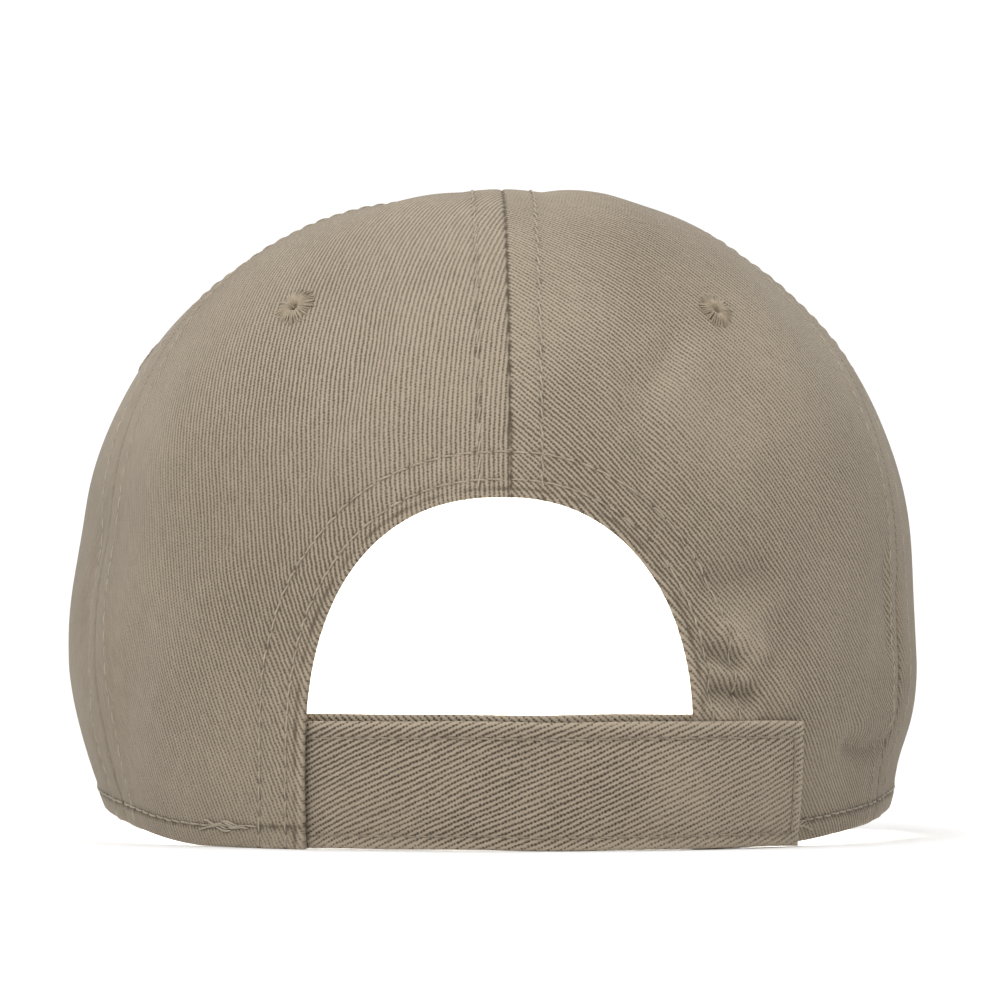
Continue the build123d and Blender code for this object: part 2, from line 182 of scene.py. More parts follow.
def base_normal(angle, station):
    step = 0.002
    across = base_point(angle + 0.1, station) - base_point(angle - 0.1, station)
    station = np.clip(station, step, 1 - 2 * step)
    up = base_point(angle, station + step) - base_point(angle, station - step)
    return unit(np.cross(up, across))


def station_at_height(height):
    """Station of an untilted height."""
    height = np.asarray(height, float)
    share = np.clip((height - WIDEST_HEIGHT) / (POLE_HEIGHT - WIDEST_HEIGHT), 0, 1)
    upper = FLARE_SHARE + (1 - FLARE_SHARE) * np.arcsin(share ** (DOME_POWER / 2)) / (math.pi / 2)
    return np.where(height < WIDEST_HEIGHT, height / WIDEST_HEIGHT * FLARE_SHARE, upper)


def rear_place(x, z):
    """Angle and station of the rear face's point at a given x and z."""
    station = station_at_height(z)
    for _ in range(24):
        half_width, half_length, _, tilt = section(station)
        y = half_length * np.sqrt(np.clip(1 - (x / half_width) ** 2, 0, 1))
        station = 0.5 * station + 0.5 * station_at_height(z - y * tilt)
    return np.degrees(np.arctan2(x, y)), station


def visor_top(x, y):
    return VISOR_HEIGHT - VISOR_CURVE * x * x + VISOR_SLOPE * (y + RIM_HALF_LENGTH)


def rim_height(angle):
    place = base_point(angle, 0.0 * angle)
    turn = np.abs((angle + 180) % 360 - 180)
    share = smooth((turn - RIM_RISE_START) / (FRONT_SEAM - RIM_RISE_START))
    curled = 1.3 * bump((angle + 180) % 360 - 130, 13.0)
    return visor_top(place[..., 0], place[..., 1]) * share + curled


def visor_share(angle):
    """1 where the visor is sewn to the rim, 0 at the back."""
    turn = np.abs((np.asarray(angle, float) + 180) % 360 - 180)
    return smooth((turn - FRONT_SEAM + 6.0) / 8.0)


def panel_foot(angle):
    """Lower edge of a panel: the rim, or a little below the visor's top face."""
    return rim_height(angle) - 1.2 * visor_share(angle)


# lengths over the cloth, every three degrees and at even stations
_places = base_point(np.arange(0, 363, 3.0)[:, None], np.linspace(0, 1, 241)[None, :])
_steps = np.linalg.norm(np.diff(_places, axis=1), axis=-1)
LENGTHS = np.concatenate([np.zeros((len(_places), 1)), np.cumsum(_steps, 1)], 1)


def cloth_height(angle, station):
    """Length over the cloth from the rim plane up to a station."""
    across = (np.asarray(angle, float) % 360) / 3
    up = np.clip(np.asarray(station, float), 0, 1) * 240
    across, up = np.broadcast_arrays(across, up)
    i, j = np.minimum(across.astype(int), 119), np.minimum(up.astype(int), 239)
    s, t = across - i, up - j
    return ((LENGTHS[i, j] * (1 - t) + LENGTHS[i, j + 1] * t) * (1 - s)
            + (LENGTHS[i + 1, j] * (1 - t) + LENGTHS[i + 1, j + 1] * t) * s)


# ---- soft folds of the worn cloth -------------------------------------------------------
# each: points (angle, height), half width, height of the fold
FOLDS = (
    (((18, 104), (21.5, 89), (27, 72)), 3.4, -0.85),
    (((13, 102), (17, 88), (22, 72)), 4.5, 0.55),
    (((-25, 104), (-17, 90), (-17, 74)), 3.0, -1.0),
    (((-30, 102), (-23, 88), (-23, 74)), 4.0, 0.55),
    (((-23, 53), (-34, 57)), 2.2, -0.8),
    (((-24, 48), (-30, 46), (-35, 50)), 2.4, 0.6),
    (((-25.5, 44.5), (-32.5, 39.6)), 2.3, 1.5),
    (((-23.5, 40), (-28.5, 37)), 1.8, -1.4),
    (((-23, 36.3), (-30, 34.5)), 1.5, 0.8),
    (((-24, 32), (-31, 30.5)), 1.9, -1.7),
    (((-24, 27), (-31, 26)), 1.8, 0.7),
    (((-34, 36), (-37, 30)), 2.4, 0.5),
    (((-61, 60), (-62, 40)), 2.4, -0.9),
    (((-67, 54), (-66, 30)), 2.2, -0.7),
    (((-50, 20.5), (-57, 19.4), (-66, 20.3)), 2.0, -1.6),
    (((-52, 25.5), (-64, 26.5)), 3.0, 0.9),
    (((70, 68), (72, 48), (71, 30)), 3.6, -1.1),
    (((77, 54), (79, 44), (77, 34)), 4.0, 0.25),
    (((72, 24), (72, 12)), 1.4, -0.6),
    (((68, 22), (67, 11)), 1.6, 0.35),
    (((52, 48), (60, 20)), 7.0, -0.7),
    (((36, 60), (46, 34)), 8.0, 0.6),
    (((26, 58), (30, 44), (31, 30)), 2.0, 0.45),
    (((-44, 66), (-52, 40)), 8.0, -0.6),
    (((88, 60), (100, 44), (108, 24)), 8.0, -0.9),
    (((272, 52), (258, 40), (250, 22)), 8.0, -0.8),
    (((140, 88), (150, 66)), 9.0, 0.5),
    (((222, 86), (212, 60)), 9.0, 0.5),
)
SHARP_FOLD = 2.5              # folds narrower than this get painted highlight on their ridges and painted shade in their hollows beside the strap


def fold_distance(angle, height, radius, points):
    """Distance to a fold's line, and how far along it, measured over the cloth."""
    turn = angle % 360 if points[0][0] > 180 else (angle + 180) % 360 - 180
    best = np.full(np.shape(height), 1e9)
    place = np.zeros(np.shape(height))
    for index, ((a0, h0), (a1, h1)) in enumerate(zip(points, points[1:])):
        run_x, run_y = np.radians(a1 - a0) * radius, h1 - h0
        x, y = np.radians(turn - a0) * radius, height - h0
        share = np.clip((x * run_x + y * run_y) / (run_x ** 2 + run_y ** 2), -0.25, 1.25)
        away = np.hypot(x - share * run_x, y - share * run_y)
        place = np.where(away < best, (index + share) / (len(points) - 1), place)
        best = np.minimum(best, away)
    return best, place


def fold_height(angle, station, widest=99.0):
    """Height of all folds that are narrower than the widest."""
    radius, height = crown_radius(angle, station), base_point(angle, station)[..., 2]
    out = np.zeros(np.shape(height))
    for points, width, rise in FOLDS:
        if width < widest:
            away, place = fold_distance(angle, height, radius, points)
            out += rise * bump(away, width) * smooth(2.2 - 2.6 * np.abs(place - 0.5) * 1.25)
    return out


def cloth_form(angle, station):
    """How far the cloth stands out from the plain crown: slack waves, folds and seam pull."""
    angle, station = np.broadcast_arrays(np.asarray(angle, float), np.asarray(station, float))
    radius = crown_radius(angle, station)
    height = base_point(angle, station)[..., 2]
    turn = np.radians(angle)
    out = 0.45 * np.sin(3 * turn + 0.06 * height + 1.0) + 0.3 * np.sin(7 * turn - 0.045 * height)
    out += 0.22 * np.sin(13 * turn + 0.09 * height + 2.0)
    nearest = np.min([np.abs(angle % 360 - seam) for seam in SEAMS], axis=0)
    out += 0.9 * (smooth(np.radians(nearest) * radius / 34.0) - 0.5)
    left, right = smooth(np.sin(turn)), smooth(-np.sin(turn))
    out += 1.0 * left * bump(height - 90.0, 20.0) - 0.8 * left * bump(height - 65.0, 10.0)
    out -= 1.4 * right * bump(height - 52.0, 18.0) + 1.3 * right * bump(height - 16.0, 8.0)
    out += 0.7 * left * bump(height - 114.0, 16.0) + 0.8 * right * bump(height - 104.0, 14.0)
    sideways = radius * np.sin(turn)
    out += smooth((height - 112.0) / 18.0) * (0.9 * smooth(-sideways / 60.0)
                                              - 0.3 * smooth(sideways / 60.0))
    out += fold_height(angle, station)
    return out * smooth((1 - station) / 0.12) * (0.25 + 0.75 * smooth(station / 0.1))


def crown_point(angle, station, depth=0.0):
    """A point at a depth inside the cloth's outer face."""
    out = cloth_form(angle, station) - depth
    return base_point(angle, station) + base_normal(angle, station) * out[..., None]


# ---- the arched opening -----------------------------------------------------------------
def arch_line(count=720):
    """Points and outward normals of the opening's outline, from the left rim over the top."""
    side = np.stack([np.full(60, OPENING_HALF_WIDTH), np.linspace(0, OPENING_SPRING, 61)[:-1]], 1)
    curve = rounded_arch(count, OPENING_HALF_WIDTH, OPENING_POWER, OPENING_SPRING,
                         OPENING_TOP - OPENING_SPRING)
    line = np.concatenate([side, curve, side[::-1] * (-1, 1)])
    steps = lengths_along(line)
    even = np.linspace(0, steps[-1], count)
    line = sample(even, steps, line)
    normal = outward(line)
    for _ in range(6):
        normal[1:-1] = unit(normal[:-2] + 2 * normal[1:-1] + normal[2:])
    normal[0], normal[-1] = (1, 0), (-1, 0)
    return line + (OPENING_SHIFT, 0), normal, even


ARCH, ARCH_NORMAL, ARCH_LENGTH = arch_line()


def arch_distance(places):
    """Distance outside the opening's edge, and length along that edge."""
    flat = places[..., (0, 2)].reshape(-1, 2)
    away, along = np.full(len(flat), 99.0), np.zeros(len(flat))
    near = np.flatnonzero((np.abs(flat[:, 0]) < 60) & (flat[:, 1] < 95))
    which = nearest_on(ARCH, flat[near])
    gap = flat[near] - ARCH[which]
    away[near] = np.sign((gap * ARCH_NORMAL[which]).sum(1)) * np.hypot(gap[:, 0], gap[:, 1])
    along[near] = ARCH_LENGTH[which]
    return away.reshape(places.shape[:-1]), along.reshape(places.shape[:-1])


# ---- relief of the sewn face ------------------------------------------------------------
def needle(along):
    """1 at each needle hole along a row, 0 between."""
    return np.cos(math.pi * along / STITCH) ** 8


def roll(distance, radius=EDGE_ROLL):
    """How deep a turned edge curls away."""
    inside = np.clip(radius - distance, 0, radius)
    return radius - np.sqrt(radius ** 2 - inside ** 2)


def seam_relief(distance, along, plump, sewn):
    chain = 0.7 + 0.3 * np.cos(2 * math.pi * along / 2.2)
    ditch = -0.5 * bump(distance, 0.42) * (chain if sewn == 1.0 else 0.6)
    pad = plump * np.sin(math.pi * np.clip(distance / (2 * SEAM_ROW), 0, 1)) ** 0.7
    pad = pad * (1 - smooth((distance - SEAM_ROW) / 2.5))
    row = -sewn * (0.12 + 0.2 * needle(along)) * bump(distance - SEAM_ROW, 0.5)
    return ditch + pad + row


def edge_relief(distance, along, rows):
    """Relief beside a turned edge with its rows of stitches."""
    out = 0.32 * (1 - smooth((distance - rows[-1]) / 1.6))
    for row in rows:
        out = out - (0.24 + 0.28 * needle(along)) * bump(distance - row, 0.6)
    if len(rows) > 1:
        between = smooth((distance - rows[0]) / 1.5) * smooth((rows[1] - distance) / 1.5)
        out = out + 0.16 * between * np.sin(2 * math.pi * (along + 0.6 * distance) / STITCH)
        beyond = bump(distance - rows[-1] - 2.5, 2.2)
        out = out + 0.12 * beyond * np.sin(2 * math.pi * (along + 0.5 * distance) / STITCH + 1.2)
    return out - roll(distance)


def above_rim(angle, station):
    """Length over the cloth from the rim's own edge."""
    return cloth_height(angle, station) - cloth_height(angle, station_at_height(rim_height(angle)))


def panel_relief(angle, station, seams, arched):
    """Relief of a panel's outer face, the lightening of its turned edges for wear and painted
    highlight, and the painted shade in its ditches and needle holes.
    """
    radius = crown_radius(angle, station)
    up = cloth_height(angle, station)
    out, ditch = np.zeros(np.shape(angle)), np.zeros(np.shape(angle))
    for seam in seams:
        distance = np.radians(np.abs(angle - seam)) * radius
        plump, sewn = (0.18, 1.0) if seam % 360 == 0 else (0.28, 0.2)
        here = seam_relief(distance, up, plump, sewn)
        out = np.where(np.abs(here) > np.abs(out), here, out)
        stretch = 0.55 + 0.45 * np.cos(2 * math.pi * up / 2.2)
        # Painted shade along each seam's ditch and in the needle holes of its row.
        ditch = np.maximum(ditch, bump(distance, 0.36) * stretch * sewn)
        ditch = np.maximum(ditch, bump(distance - SEAM_ROW, 0.4) * needle(up) * 0.8 * sewn)
    rim, around = above_rim(angle, station), np.radians(angle) * radius
    hem_share = 1 - smooth((rim - HEM_ROW - 1.0) / 1.2)
    out = out * (1 - hem_share * 0.5) + edge_relief(rim, around, (HEM_ROW,)) * hem_share
    # The rim's turned edge is lightened for wear and painted highlight; painted shade darkens the hem
    # row's needle holes.
    worn = bump(rim, 0.9)
    ditch = np.maximum(ditch, bump(rim - HEM_ROW, 0.5) * (0.35 + 0.5 * needle(around)))
    if arched:
        away, along = arch_distance(base_point(angle, station))
        share = 1 - smooth((away - ARCH_ROWS[1] - 3.0) / 2.5)
        out = out * (1 - 0.6 * share) + edge_relief(away, along, ARCH_ROWS) * share
        # The opening's turned edge is lightened for wear and painted highlight; painted shade darkens
        # its rows' needle holes and the line where the edge folds under.
        worn = np.maximum(worn, bump(away, 0.7))
        for row in ARCH_ROWS:
            ditch = np.maximum(ditch, bump(away - row, 0.4) * needle(along) * 0.7)
        fold = 0.5 + 0.5 * np.sin(along / 3.1) * np.sin(along / 1.7)
        ditch = np.maximum(ditch, bump(away - 1.5, 0.3) * fold * 0.6)
    return out, worn, ditch


# ---- mesh making ------------------------------------------------------------------------
def make_object(name, points, faces, material, body, uv=None, shade=None, slot=None, replaced=()):
    mesh = bpy.data.meshes.new(name)
    mesh.from_pydata((np.asarray(points) * MM).tolist(), [], [list(map(int, f)) for f in faces])
    mesh.update()
    mesh.polygons.foreach_set("use_smooth", [True] * len(mesh.polygons))
    if uv is not None:
        corners = np.zeros(len(mesh.loops), int)
        mesh.loops.foreach_get("vertex_index", corners)
        layer = mesh.uv_layers.new(name="weave")
        layer.data.foreach_set("uv", np.asarray(uv, np.float32)[corners].ravel())
    for key, values in (shade or {}).items():
        attribute = mesh.attributes.new(key, "FLOAT", "POINT")
        attribute.data.foreach_set("value", np.asarray(values, np.float32).ravel())
    mesh.materials.append(material)
    piece = bpy.data.objects.new(name, mesh)
    bpy.context.scene.collection.objects.link(piece)
    if body:
        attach(piece, body)
    if replaced:
        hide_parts(*replaced)
    return piece


def border_edges(faces):
    """Directed border edges of a sheet of faces."""
    seen = {}
    for face in faces:
        for a, b in zip(face, np.roll(face, -1)):
            seen[(int(a), int(b))] = True
    return [edge for edge in seen if (edge[1], edge[0]) not in seen]


def closed_shell(outer, inner, faces):
    """Outer and inner sheets with the same faces, joined round every border."""
    count = len(outer)
    back = [tuple(int(v) + count for v in face[::-1]) for face in faces]
    rims = [(b, a, a + count, b + count) for a, b in border_edges(faces)]
    return np.concatenate([outer, inner]), [tuple(map(int, f)) for f in faces] + back + rims


def make_shell(name, outer, inner, faces, material, body, uv, shade, slot, replaced):
    """A piece of cloth between two sheets that share their faces, without unused points."""
    used = np.unique(np.concatenate([np.asarray(f) for f in faces]))
    new = np.full(len(outer), -1)
    new[used] = np.arange(len(used))
    faces = [tuple(int(new[v]) for v in f) for f in faces]
    points, faces = closed_shell(outer[used], inner[used], faces)
    both = np.concatenate([used, used])
    return make_object(name, points, faces, material, body, uv[both],
                       {key: values[both] for key, values in shade.items()}, slot, replaced)


def grid_faces(rows, columns):
    corners = [j * columns + i for j in range(rows - 1) for i in range(columns - 1)]
    return [(a, a + 1, a + columns + 1, a + columns) for a in corners]


def ring_faces(rings, around, closed=False):
    """Faces between rings of points, and from the last ring to the first if closed."""
    faces = []
    for number in range(rings if closed else rings - 1):
        here, after = number * around, (number + 1) % rings * around
        for k in range(around):
            step = (k + 1) % around
            faces.append((here + k, after + k, after + step, here + step))
    return faces


def offsets(total, fine, step):
    """Even offsets with fine ones kept near the start."""
    count = max(2, int(round((total - fine[-1]) / step)))
    return np.concatenate([fine, np.linspace(fine[-1], total, count + 1)[1:]])


SEAM_FINE = np.array([0, .12, .35, .7, 1.2, 1.9, 2.8, 3.8, 4.8, 5.6, 6.1, 6.5, 7.0, 7.8, 8.8, 10.0])
RIM_FINE = np.array([0, .1, .3, .6, 1.0, 1.6, 2.4, 3.3, 4.1, 4.6, 5.1, 5.8, 6.8])
ARCH_RINGS = np.array([12.2, 11.0, 10.1, 9.5, 9.0, 8.5, 7.8, 6.8, 5.7, 4.8, 4.1, 3.5, 2.9,
                       2.2, 1.5, 1.0, .6, .3, .1, 0.0])
PANEL_LENGTH = 168.0          # over the cloth from the rim to the button


def panel_grid(start, end):
    """Angles and stations of a panel's even grid, fine beside the seams and the rim."""
    width = math.radians(end - start) * WIDEST_HALF_WIDTH
    half = offsets(width / 2, SEAM_FINE, 1.25)
    across = np.concatenate([half, (width - half[::-1])[1:]]) / width
    angles = start + (end - start) * across
    up = offsets(PANEL_LENGTH, RIM_FINE, 1.3) / PANEL_LENGTH
    first = station_at_height(panel_foot(angles))
    stations = first[None, :] + (TOP_STATION - first[None, :]) * up[:, None]
    return np.broadcast_to(angles, stations.shape).copy(), stations


def arch_border(kept, away):
    """The border's points beside the opening, in order."""
    loop = {a: b for a, b in border_edges(kept)}
    near = {v for v in loop if away[v] < ARCH_RINGS[0] + 4.5}
    reached = {b for a, b in loop.items() if a in near}
    chain = [next(v for v in near if v not in reached)]
    while loop.get(chain[-1]) in near:
        chain.append(loop[chain[-1]])
    return np.array(chain)


def open_arch(angles, stations, faces):
    """Cuts the opening out of a rear panel and fits rings of faces round its edge."""
    place = base_point(angles, stations)
    away, _ = arch_distance(place)
    kept = [f for f in faces if min(away[list(f)]) > ARCH_RINGS[0]]
    chain = arch_border(kept, away)
    outline = ARCH + ARCH_RINGS[0] * ARCH_NORMAL
    gap = np.linalg.norm(place[chain][:, None, (0, 2)] - outline[None], axis=-1)
    share = np.argmin(gap, 1).astype(float)
    index = np.arange(len(ARCH))
    middle, rim_end = np.interp(0.0, -ARCH[:, 0], index), 0 if angles.mean() > 0 else len(ARCH) - 1
    seam_end = 0 if abs(share[0] - middle) < abs(share[-1] - middle) else -1
    share[seam_end], share[-1 - seam_end] = middle, rim_end
    for _ in range(60):
        share[1:-1] = 0.25 * share[:-2] + 0.5 * share[1:-1] + 0.25 * share[2:]
    line, normal = sample(share, index, ARCH), unit(sample(share, index, ARCH_NORMAL))
    previous = chain
    for number, ring in enumerate(ARCH_RINGS):
        spot = line + ring * normal
        spot[seam_end, 0] = 0.0
        ring_angle, ring_station = rear_place(spot[:, 0], spot[:, 1])
        if number == 0:
            angles[chain], stations[chain] = ring_angle, ring_station
            continue
        fresh = len(angles) + np.arange(len(chain))
        angles = np.concatenate([angles, ring_angle])
        stations = np.concatenate([stations, ring_station])
        for k in range(len(chain) - 1):
            kept.append((int(previous[k + 1]), int(previous[k]), int(fresh[k]), int(fresh[k + 1])))
        previous = fresh
    return angles, stations, kept


def turned_uv(right, up, lean, pitch=WALE):
    """Cloth coordinates in wale widths: across the twill lines and along them."""
    turn = math.radians(lean)
    return np.stack([-right * math.sin(turn) + up * math.cos(turn),
                     right * math.cos(turn) + up * math.sin(turn)], -1) / pitch


def weave_uv(angle, station, middle, lean, pitch=WALE):
    right = -np.radians(angle - middle) * crown_radius(angle, station)
    return turned_uv(right, cloth_height(angle, station), lean, pitch)


def drag_twill(uv, angle, station, middle):
    """Twill dragged down towards the opening's left edge, where the strap pulls on it."""
    right = -np.radians(angle - middle) * crown_radius(angle, station)
    below = 56.0 - cloth_height(angle, station)
    across = 0.1 * soft_step(right + 2.0, 4.0) * smooth(below / 25.0)
    across += DRAG * soft_step(below, DRAG_START)
    return uv + np.stack([across, np.zeros_like(across)], -1) / WALE


# ---- threads ----------------------------------------------------------------------------
def tube_set(centres, sides_up, radii, ring=6):
    """Closed tubes: centres (tubes, knots, 3), one up vector per knot, radius per knot."""
    count, knots, _ = centres.shape
    run = unit(np.gradient(centres, axis=1))
    side = unit(np.cross(run, sides_up))
    up = np.cross(side, run)
    turn = np.arange(ring) * 2 * math.pi / ring
    spokes = (np.cos(turn)[:, None] * up[:, :, None, :] + np.sin(turn)[:, None] * side[:, :, None, :])
    points = centres[:, :, None, :] + radii[..., None, None] * spokes
    faces = []
    for base in range(0, count * knots * ring, knots * ring):
        for a in range(base, base + (knots - 1) * ring):
            b = a + 1 if (a - base) % ring < ring - 1 else a + 1 - ring
            faces.append((a, b, b + ring, a + ring))
        faces.append(tuple(base + r for r in reversed(range(ring))))
        faces.append(tuple(base + (knots - 1) * ring + r for r in range(ring)))
    return points.reshape(-1, 3), faces


def stitch_row(line, normals, pitch=STITCH, radius=THREAD, slant=0.05, sink=0.0):
    """One row of lockstitches along a line on the cloth."""
    steps = lengths_along(line)
    count = int(steps[-1] // pitch)
    if count < 1:
        return np.zeros((0, 3)), []
    share = np.linspace(0, 1, 7)
    at = (np.arange(count)[:, None] + 0.5) * pitch + (share - 0.5) * (pitch - 0.25)
    centre, up = sample(at, steps, line), unit(sample(at, steps, normals))
    side = np.cross(unit(np.gradient(centre, axis=1)), up)
    lean = (share - 0.5)[None, :] * slant * pitch + RANDOM.uniform(-0.07, 0.07, (count, 1))
    arc = np.sin(math.pi * share)
    lift = (0.30 * arc ** 0.6 - 0.26)[None, :] + RANDOM.uniform(-0.03, 0.05, (count, 1))
    centre = centre + side * lean[..., None] + up * (lift + radius * 0.6 - sink)[..., None]
    return tube_set(centre, up, np.broadcast_to(radius * (0.75 + 0.25 * arc), at.shape))


def gather(sets):
    points, faces, total = [], [], 0
    for some_points, some_faces in sets:
        points.append(some_points)
        faces.extend(tuple(v + total for v in f) for f in some_faces)
        total += len(some_points)
    return np.concatenate(points), faces


# ---- materials --------------------------------------------------------------------------
class Value:
    """A value inside a node tree, which the usual signs work on."""

    def __init__(self, nodes, socket):
        self.nodes, self.socket = nodes, socket

    def __add__(self, other):
        return self.nodes.math("ADD", self, other)

    def __sub__(self, other):
        return self.nodes.math("SUBTRACT", self, other)

    def __rsub__(self, other):
        return self.nodes.math("SUBTRACT", other, self)

    def __mul__(self, other):
        return self.nodes.math("MULTIPLY", self, other)

    def __pow__(self, other):
        return self.nodes.math("POWER", self, other)

    def most(self, other):
        return self.nodes.math("MAXIMUM", self, other)

    def clamped(self):
        self.socket.node.use_clamp = True
        return self


class Nodes:
    """Short hand for making a node tree."""

    def __init__(self, tree):
        self.tree = tree

    def put(self, socket, value):
        if isinstance(value, Value):
            self.tree.links.new(value.socket, socket)
        elif isinstance(value, tuple):
            socket.default_value = (*value, 1.0)
        else:
            socket.default_value = value

    def node(self, kind, output, inputs, **settings):
        """Adds a node, sets it up and gives one of its outputs."""
        node = self.tree.nodes.new("ShaderNode" + kind)
        for key, value in settings.items():
            setattr(node, key, value)
        for key, value in inputs.items():
            self.put(node.inputs[key], value)
        return Value(self, node.outputs[output])

    def math(self, operation, *values):
        return self.node("Math", 0, dict(enumerate(values)), operation=operation)

    def cycle(self, operation, phase):
        """A wave from -1 to 1 with a period of 1."""
        return self.math(operation, phase * (2 * math.pi))

    def noise(self, vector, scale, detail=3.0, roughness=0.6):
        return self.node("TexNoise", "Fac", {"Vector": vector, "Scale": scale, "Detail": detail,
                                             "Roughness": roughness})

    def combine(self, x, y):
        return self.node("CombineXYZ", 0, {0: x, 1: y, 2: 0.0})

    def split(self, vector):
        node = self.node("SeparateXYZ", 0, {0: vector}).socket.node
        return [Value(self, output) for output in node.outputs]

    def attribute(self, name):
        return self.node("Attribute", "Fac", {}, attribute_name=name)

    def weave(self):
        return self.split(self.node("UVMap", 0, {}, uv_map="weave"))[:2]

    def place(self):
        return self.node("TexCoord", "Object", {})

    def span(self, value, low, high, at_low, at_high):
        """Smooth change from one number to another while a value goes from low to high."""
        return self.node("MapRange", "Result", {"Value": value, "From Min": low, "From Max": high,
                                                "To Min": at_low, "To Max": at_high},
                         interpolation_type="SMOOTHSTEP")


class Look(Nodes):
    """A new material."""

    def __init__(self, name, roughness=0.9, sheen=0.08):
        self.material = bpy.data.materials.new(name)
        self.material.use_nodes = True
        super().__init__(self.material.node_tree)
        self.shader = self.tree.nodes["Principled BSDF"]
        for key, value in (("Roughness", roughness), ("Sheen Weight", sheen),
                           ("Sheen Roughness", 0.5), ("Specular IOR Level", 0.25)):
            self.shader.inputs[key].default_value = value

    def finish(self, share, light, dark, height=None, distance=0.0):
        """Mixes the colour, raises the relief (in millimetres) and gives the material."""
        colour = self.node("Mix", 2, {0: share, 6: light, 7: dark}, data_type="RGBA")
        self.put(self.shader.inputs["Base Color"], colour)
        if height:
            bump_map = self.node("Bump", 0, {"Strength": 1.0, "Distance": distance * MM,
                                             "Height": height})
            self.put(self.shader.inputs["Normal"], bump_map)
        return self.material


def twill(name, light, dark, contrast=1.0, relief=0.10, dots=0.5):
    """Brushed cotton twill: raised diagonal wales with pin holes in the grooves between them."""
    n = Look(name)
    across, along = n.weave()
    calm = n.attribute("calm")
    wander = n.noise(n.combine(across * 0.09, along * 0.05), 1.0, 2.0)
    jitter = n.noise(n.combine(across * 0.9, along * 1.3), 1.0, 2.0)
    phase = across + (wander - 0.5) * 1.3 + (jitter - 0.5) * 0.5
    ridge = (n.cycle("COSINE", phase) * 0.5 + 0.5) ** 0.6
    row = n.math("FLOOR", phase)
    lead = n.noise(n.combine(row * 7.3, along * 0.35), 1.0, 1.0)
    hole_phase = along * 1.45 + row * 0.36 + lead * 1.2
    hole = (n.cycle("COSINE", hole_phase) * 0.5 + 0.5) ** 1.3
    chance = ((n.noise(n.combine(across, along * 1.4), 1.35, 2.0, 0.7) - 0.30) * 2.6).clamped()
    bold = (n.noise(n.place(), 17.0, 2.0, 0.5) - 0.5) * 2.6 + 1.0
    pits = (1.0 - ridge) * (hole * dots + (1.0 - dots)) * (chance * 0.75 + 0.45)
    pits = pits * bold.most(0.45) * (1.0 - calm)
    yarn = n.noise(n.combine(across * 1.1, along * 0.22), 1.0, 3.0)
    fuzz = n.noise(n.combine(across, along), 4.6, 5.0, 0.8)
    speck = ((n.noise(n.combine(across, along * 0.55), 3.1, 2.0, 0.7) - 0.58) * 3.2).clamped()
    patch = n.noise(n.place(), 26.0, 4.0, 0.55)
    shade = pits * (1.5 * contrast) - speck * 0.45 + (0.5 - yarn) * 0.5 + (0.5 - fuzz) * 2.0
    # The mesh's attributes paint shade in ditches, creases and on the flanks, lighten edges for wear
    # and painted highlight, and paint light on the upper back.
    shade = shade + (0.5 - patch) * 0.4 + n.attribute("ditch") * 1.25 - n.attribute("worn") * 0.2
    shade = (shade + calm * 0.42 + 0.08).clamped()
    return n.finish(shade, light, dark, (1.0 - pits) + fuzz * 0.8, relief)


def plain_cloth(name, light, dark):
    """Plain weave: crossing threads."""
    n = Look(name)
    across, along = n.weave()
    weave = n.cycle("SINE", across) * n.cycle("SINE", along) * 0.5 + 0.5
    fuzz = n.noise(n.place(), 900.0)
    patch = n.noise(n.place(), 30.0)
    shade = (weave * 0.5 + fuzz * 0.35 + (patch - 0.5) * 0.6).clamped()
    return n.finish(shade, light, dark, weave + fuzz * 0.5, 0.05)


def thread_material(name, light, dark):
    """Spun thread: fine twisted strands with a slight sheen."""
    n = Look(name, 0.6, 0.15)
    strands = n.noise(n.place(), 5200.0, 2.0)
    patch = n.noise(n.place(), 420.0, 2.0)
    shade = ((patch - 0.5) * 1.2 + strands * 0.9).clamped()
    return n.finish(shade, light, dark, strands, 0.04)


def metal(name, light, dark):
    n = Look(name, 0.42, 0.0)
    n.shader.inputs["Metallic"].default_value = 1.0
    scratches = n.noise(n.place(), 900.0, 4.0)
    return n.finish(scratches, light, dark, scratches, 0.02)


def plastic_tape(name, light, dark):
    """Moulded or brushed nylon backing with a fine grid."""
    n = Look(name, 0.6, 0.1)
    across, along = n.weave()
    grid = n.cycle("SINE", across) * n.cycle("SINE", along)
    fuzz = n.noise(n.place(), 1500.0)
    return n.finish((grid * 0.25 + fuzz * 0.8).clamped(), light, dark, grid + fuzz, 0.06)


PANEL_CLOTH = twill("panel_twill", (0.352, 0.294, 0.219), (0.100, 0.078, 0.053), 1.1)
STRAP_CLOTH_LOOK = twill("strap_twill", (0.385, 0.32, 0.238), (0.06, 0.045, 0.03), 1.1, 0.2, 0.55)
VISOR_CLOTH = twill("visor_twill", (0.345, 0.288, 0.215), (0.105, 0.082, 0.056))
BAND_CLOTH = twill("sweatband_twill", (0.80, 0.77, 0.70), (0.52, 0.48, 0.41), 0.7, 0.06)
TAPE_CLOTH = plain_cloth("seam_tape_cotton", (0.76, 0.73, 0.66), (0.55, 0.51, 0.44))
BUCKRAM_CLOTH = plain_cloth("buckram_mesh", (0.86, 0.86, 0.84), (0.62, 0.62, 0.60))
THREAD_LOOK = thread_material("khaki_thread", (0.41, 0.35, 0.265), (0.20, 0.165, 0.12))
STRAP_THREAD = thread_material("strap_thread", (0.33, 0.275, 0.205), (0.12, 0.095, 0.065))
EYELET_LOOK = thread_material("eyelet_thread", (0.40, 0.33, 0.235), (0.12, 0.09, 0.055))
METAL_LOOK = metal("button_metal", (0.50, 0.49, 0.47), (0.36, 0.35, 0.33))
HOOK_LOOK = plastic_tape("hook_nylon", (0.30, 0.25, 0.19), (0.17, 0.14, 0.10))
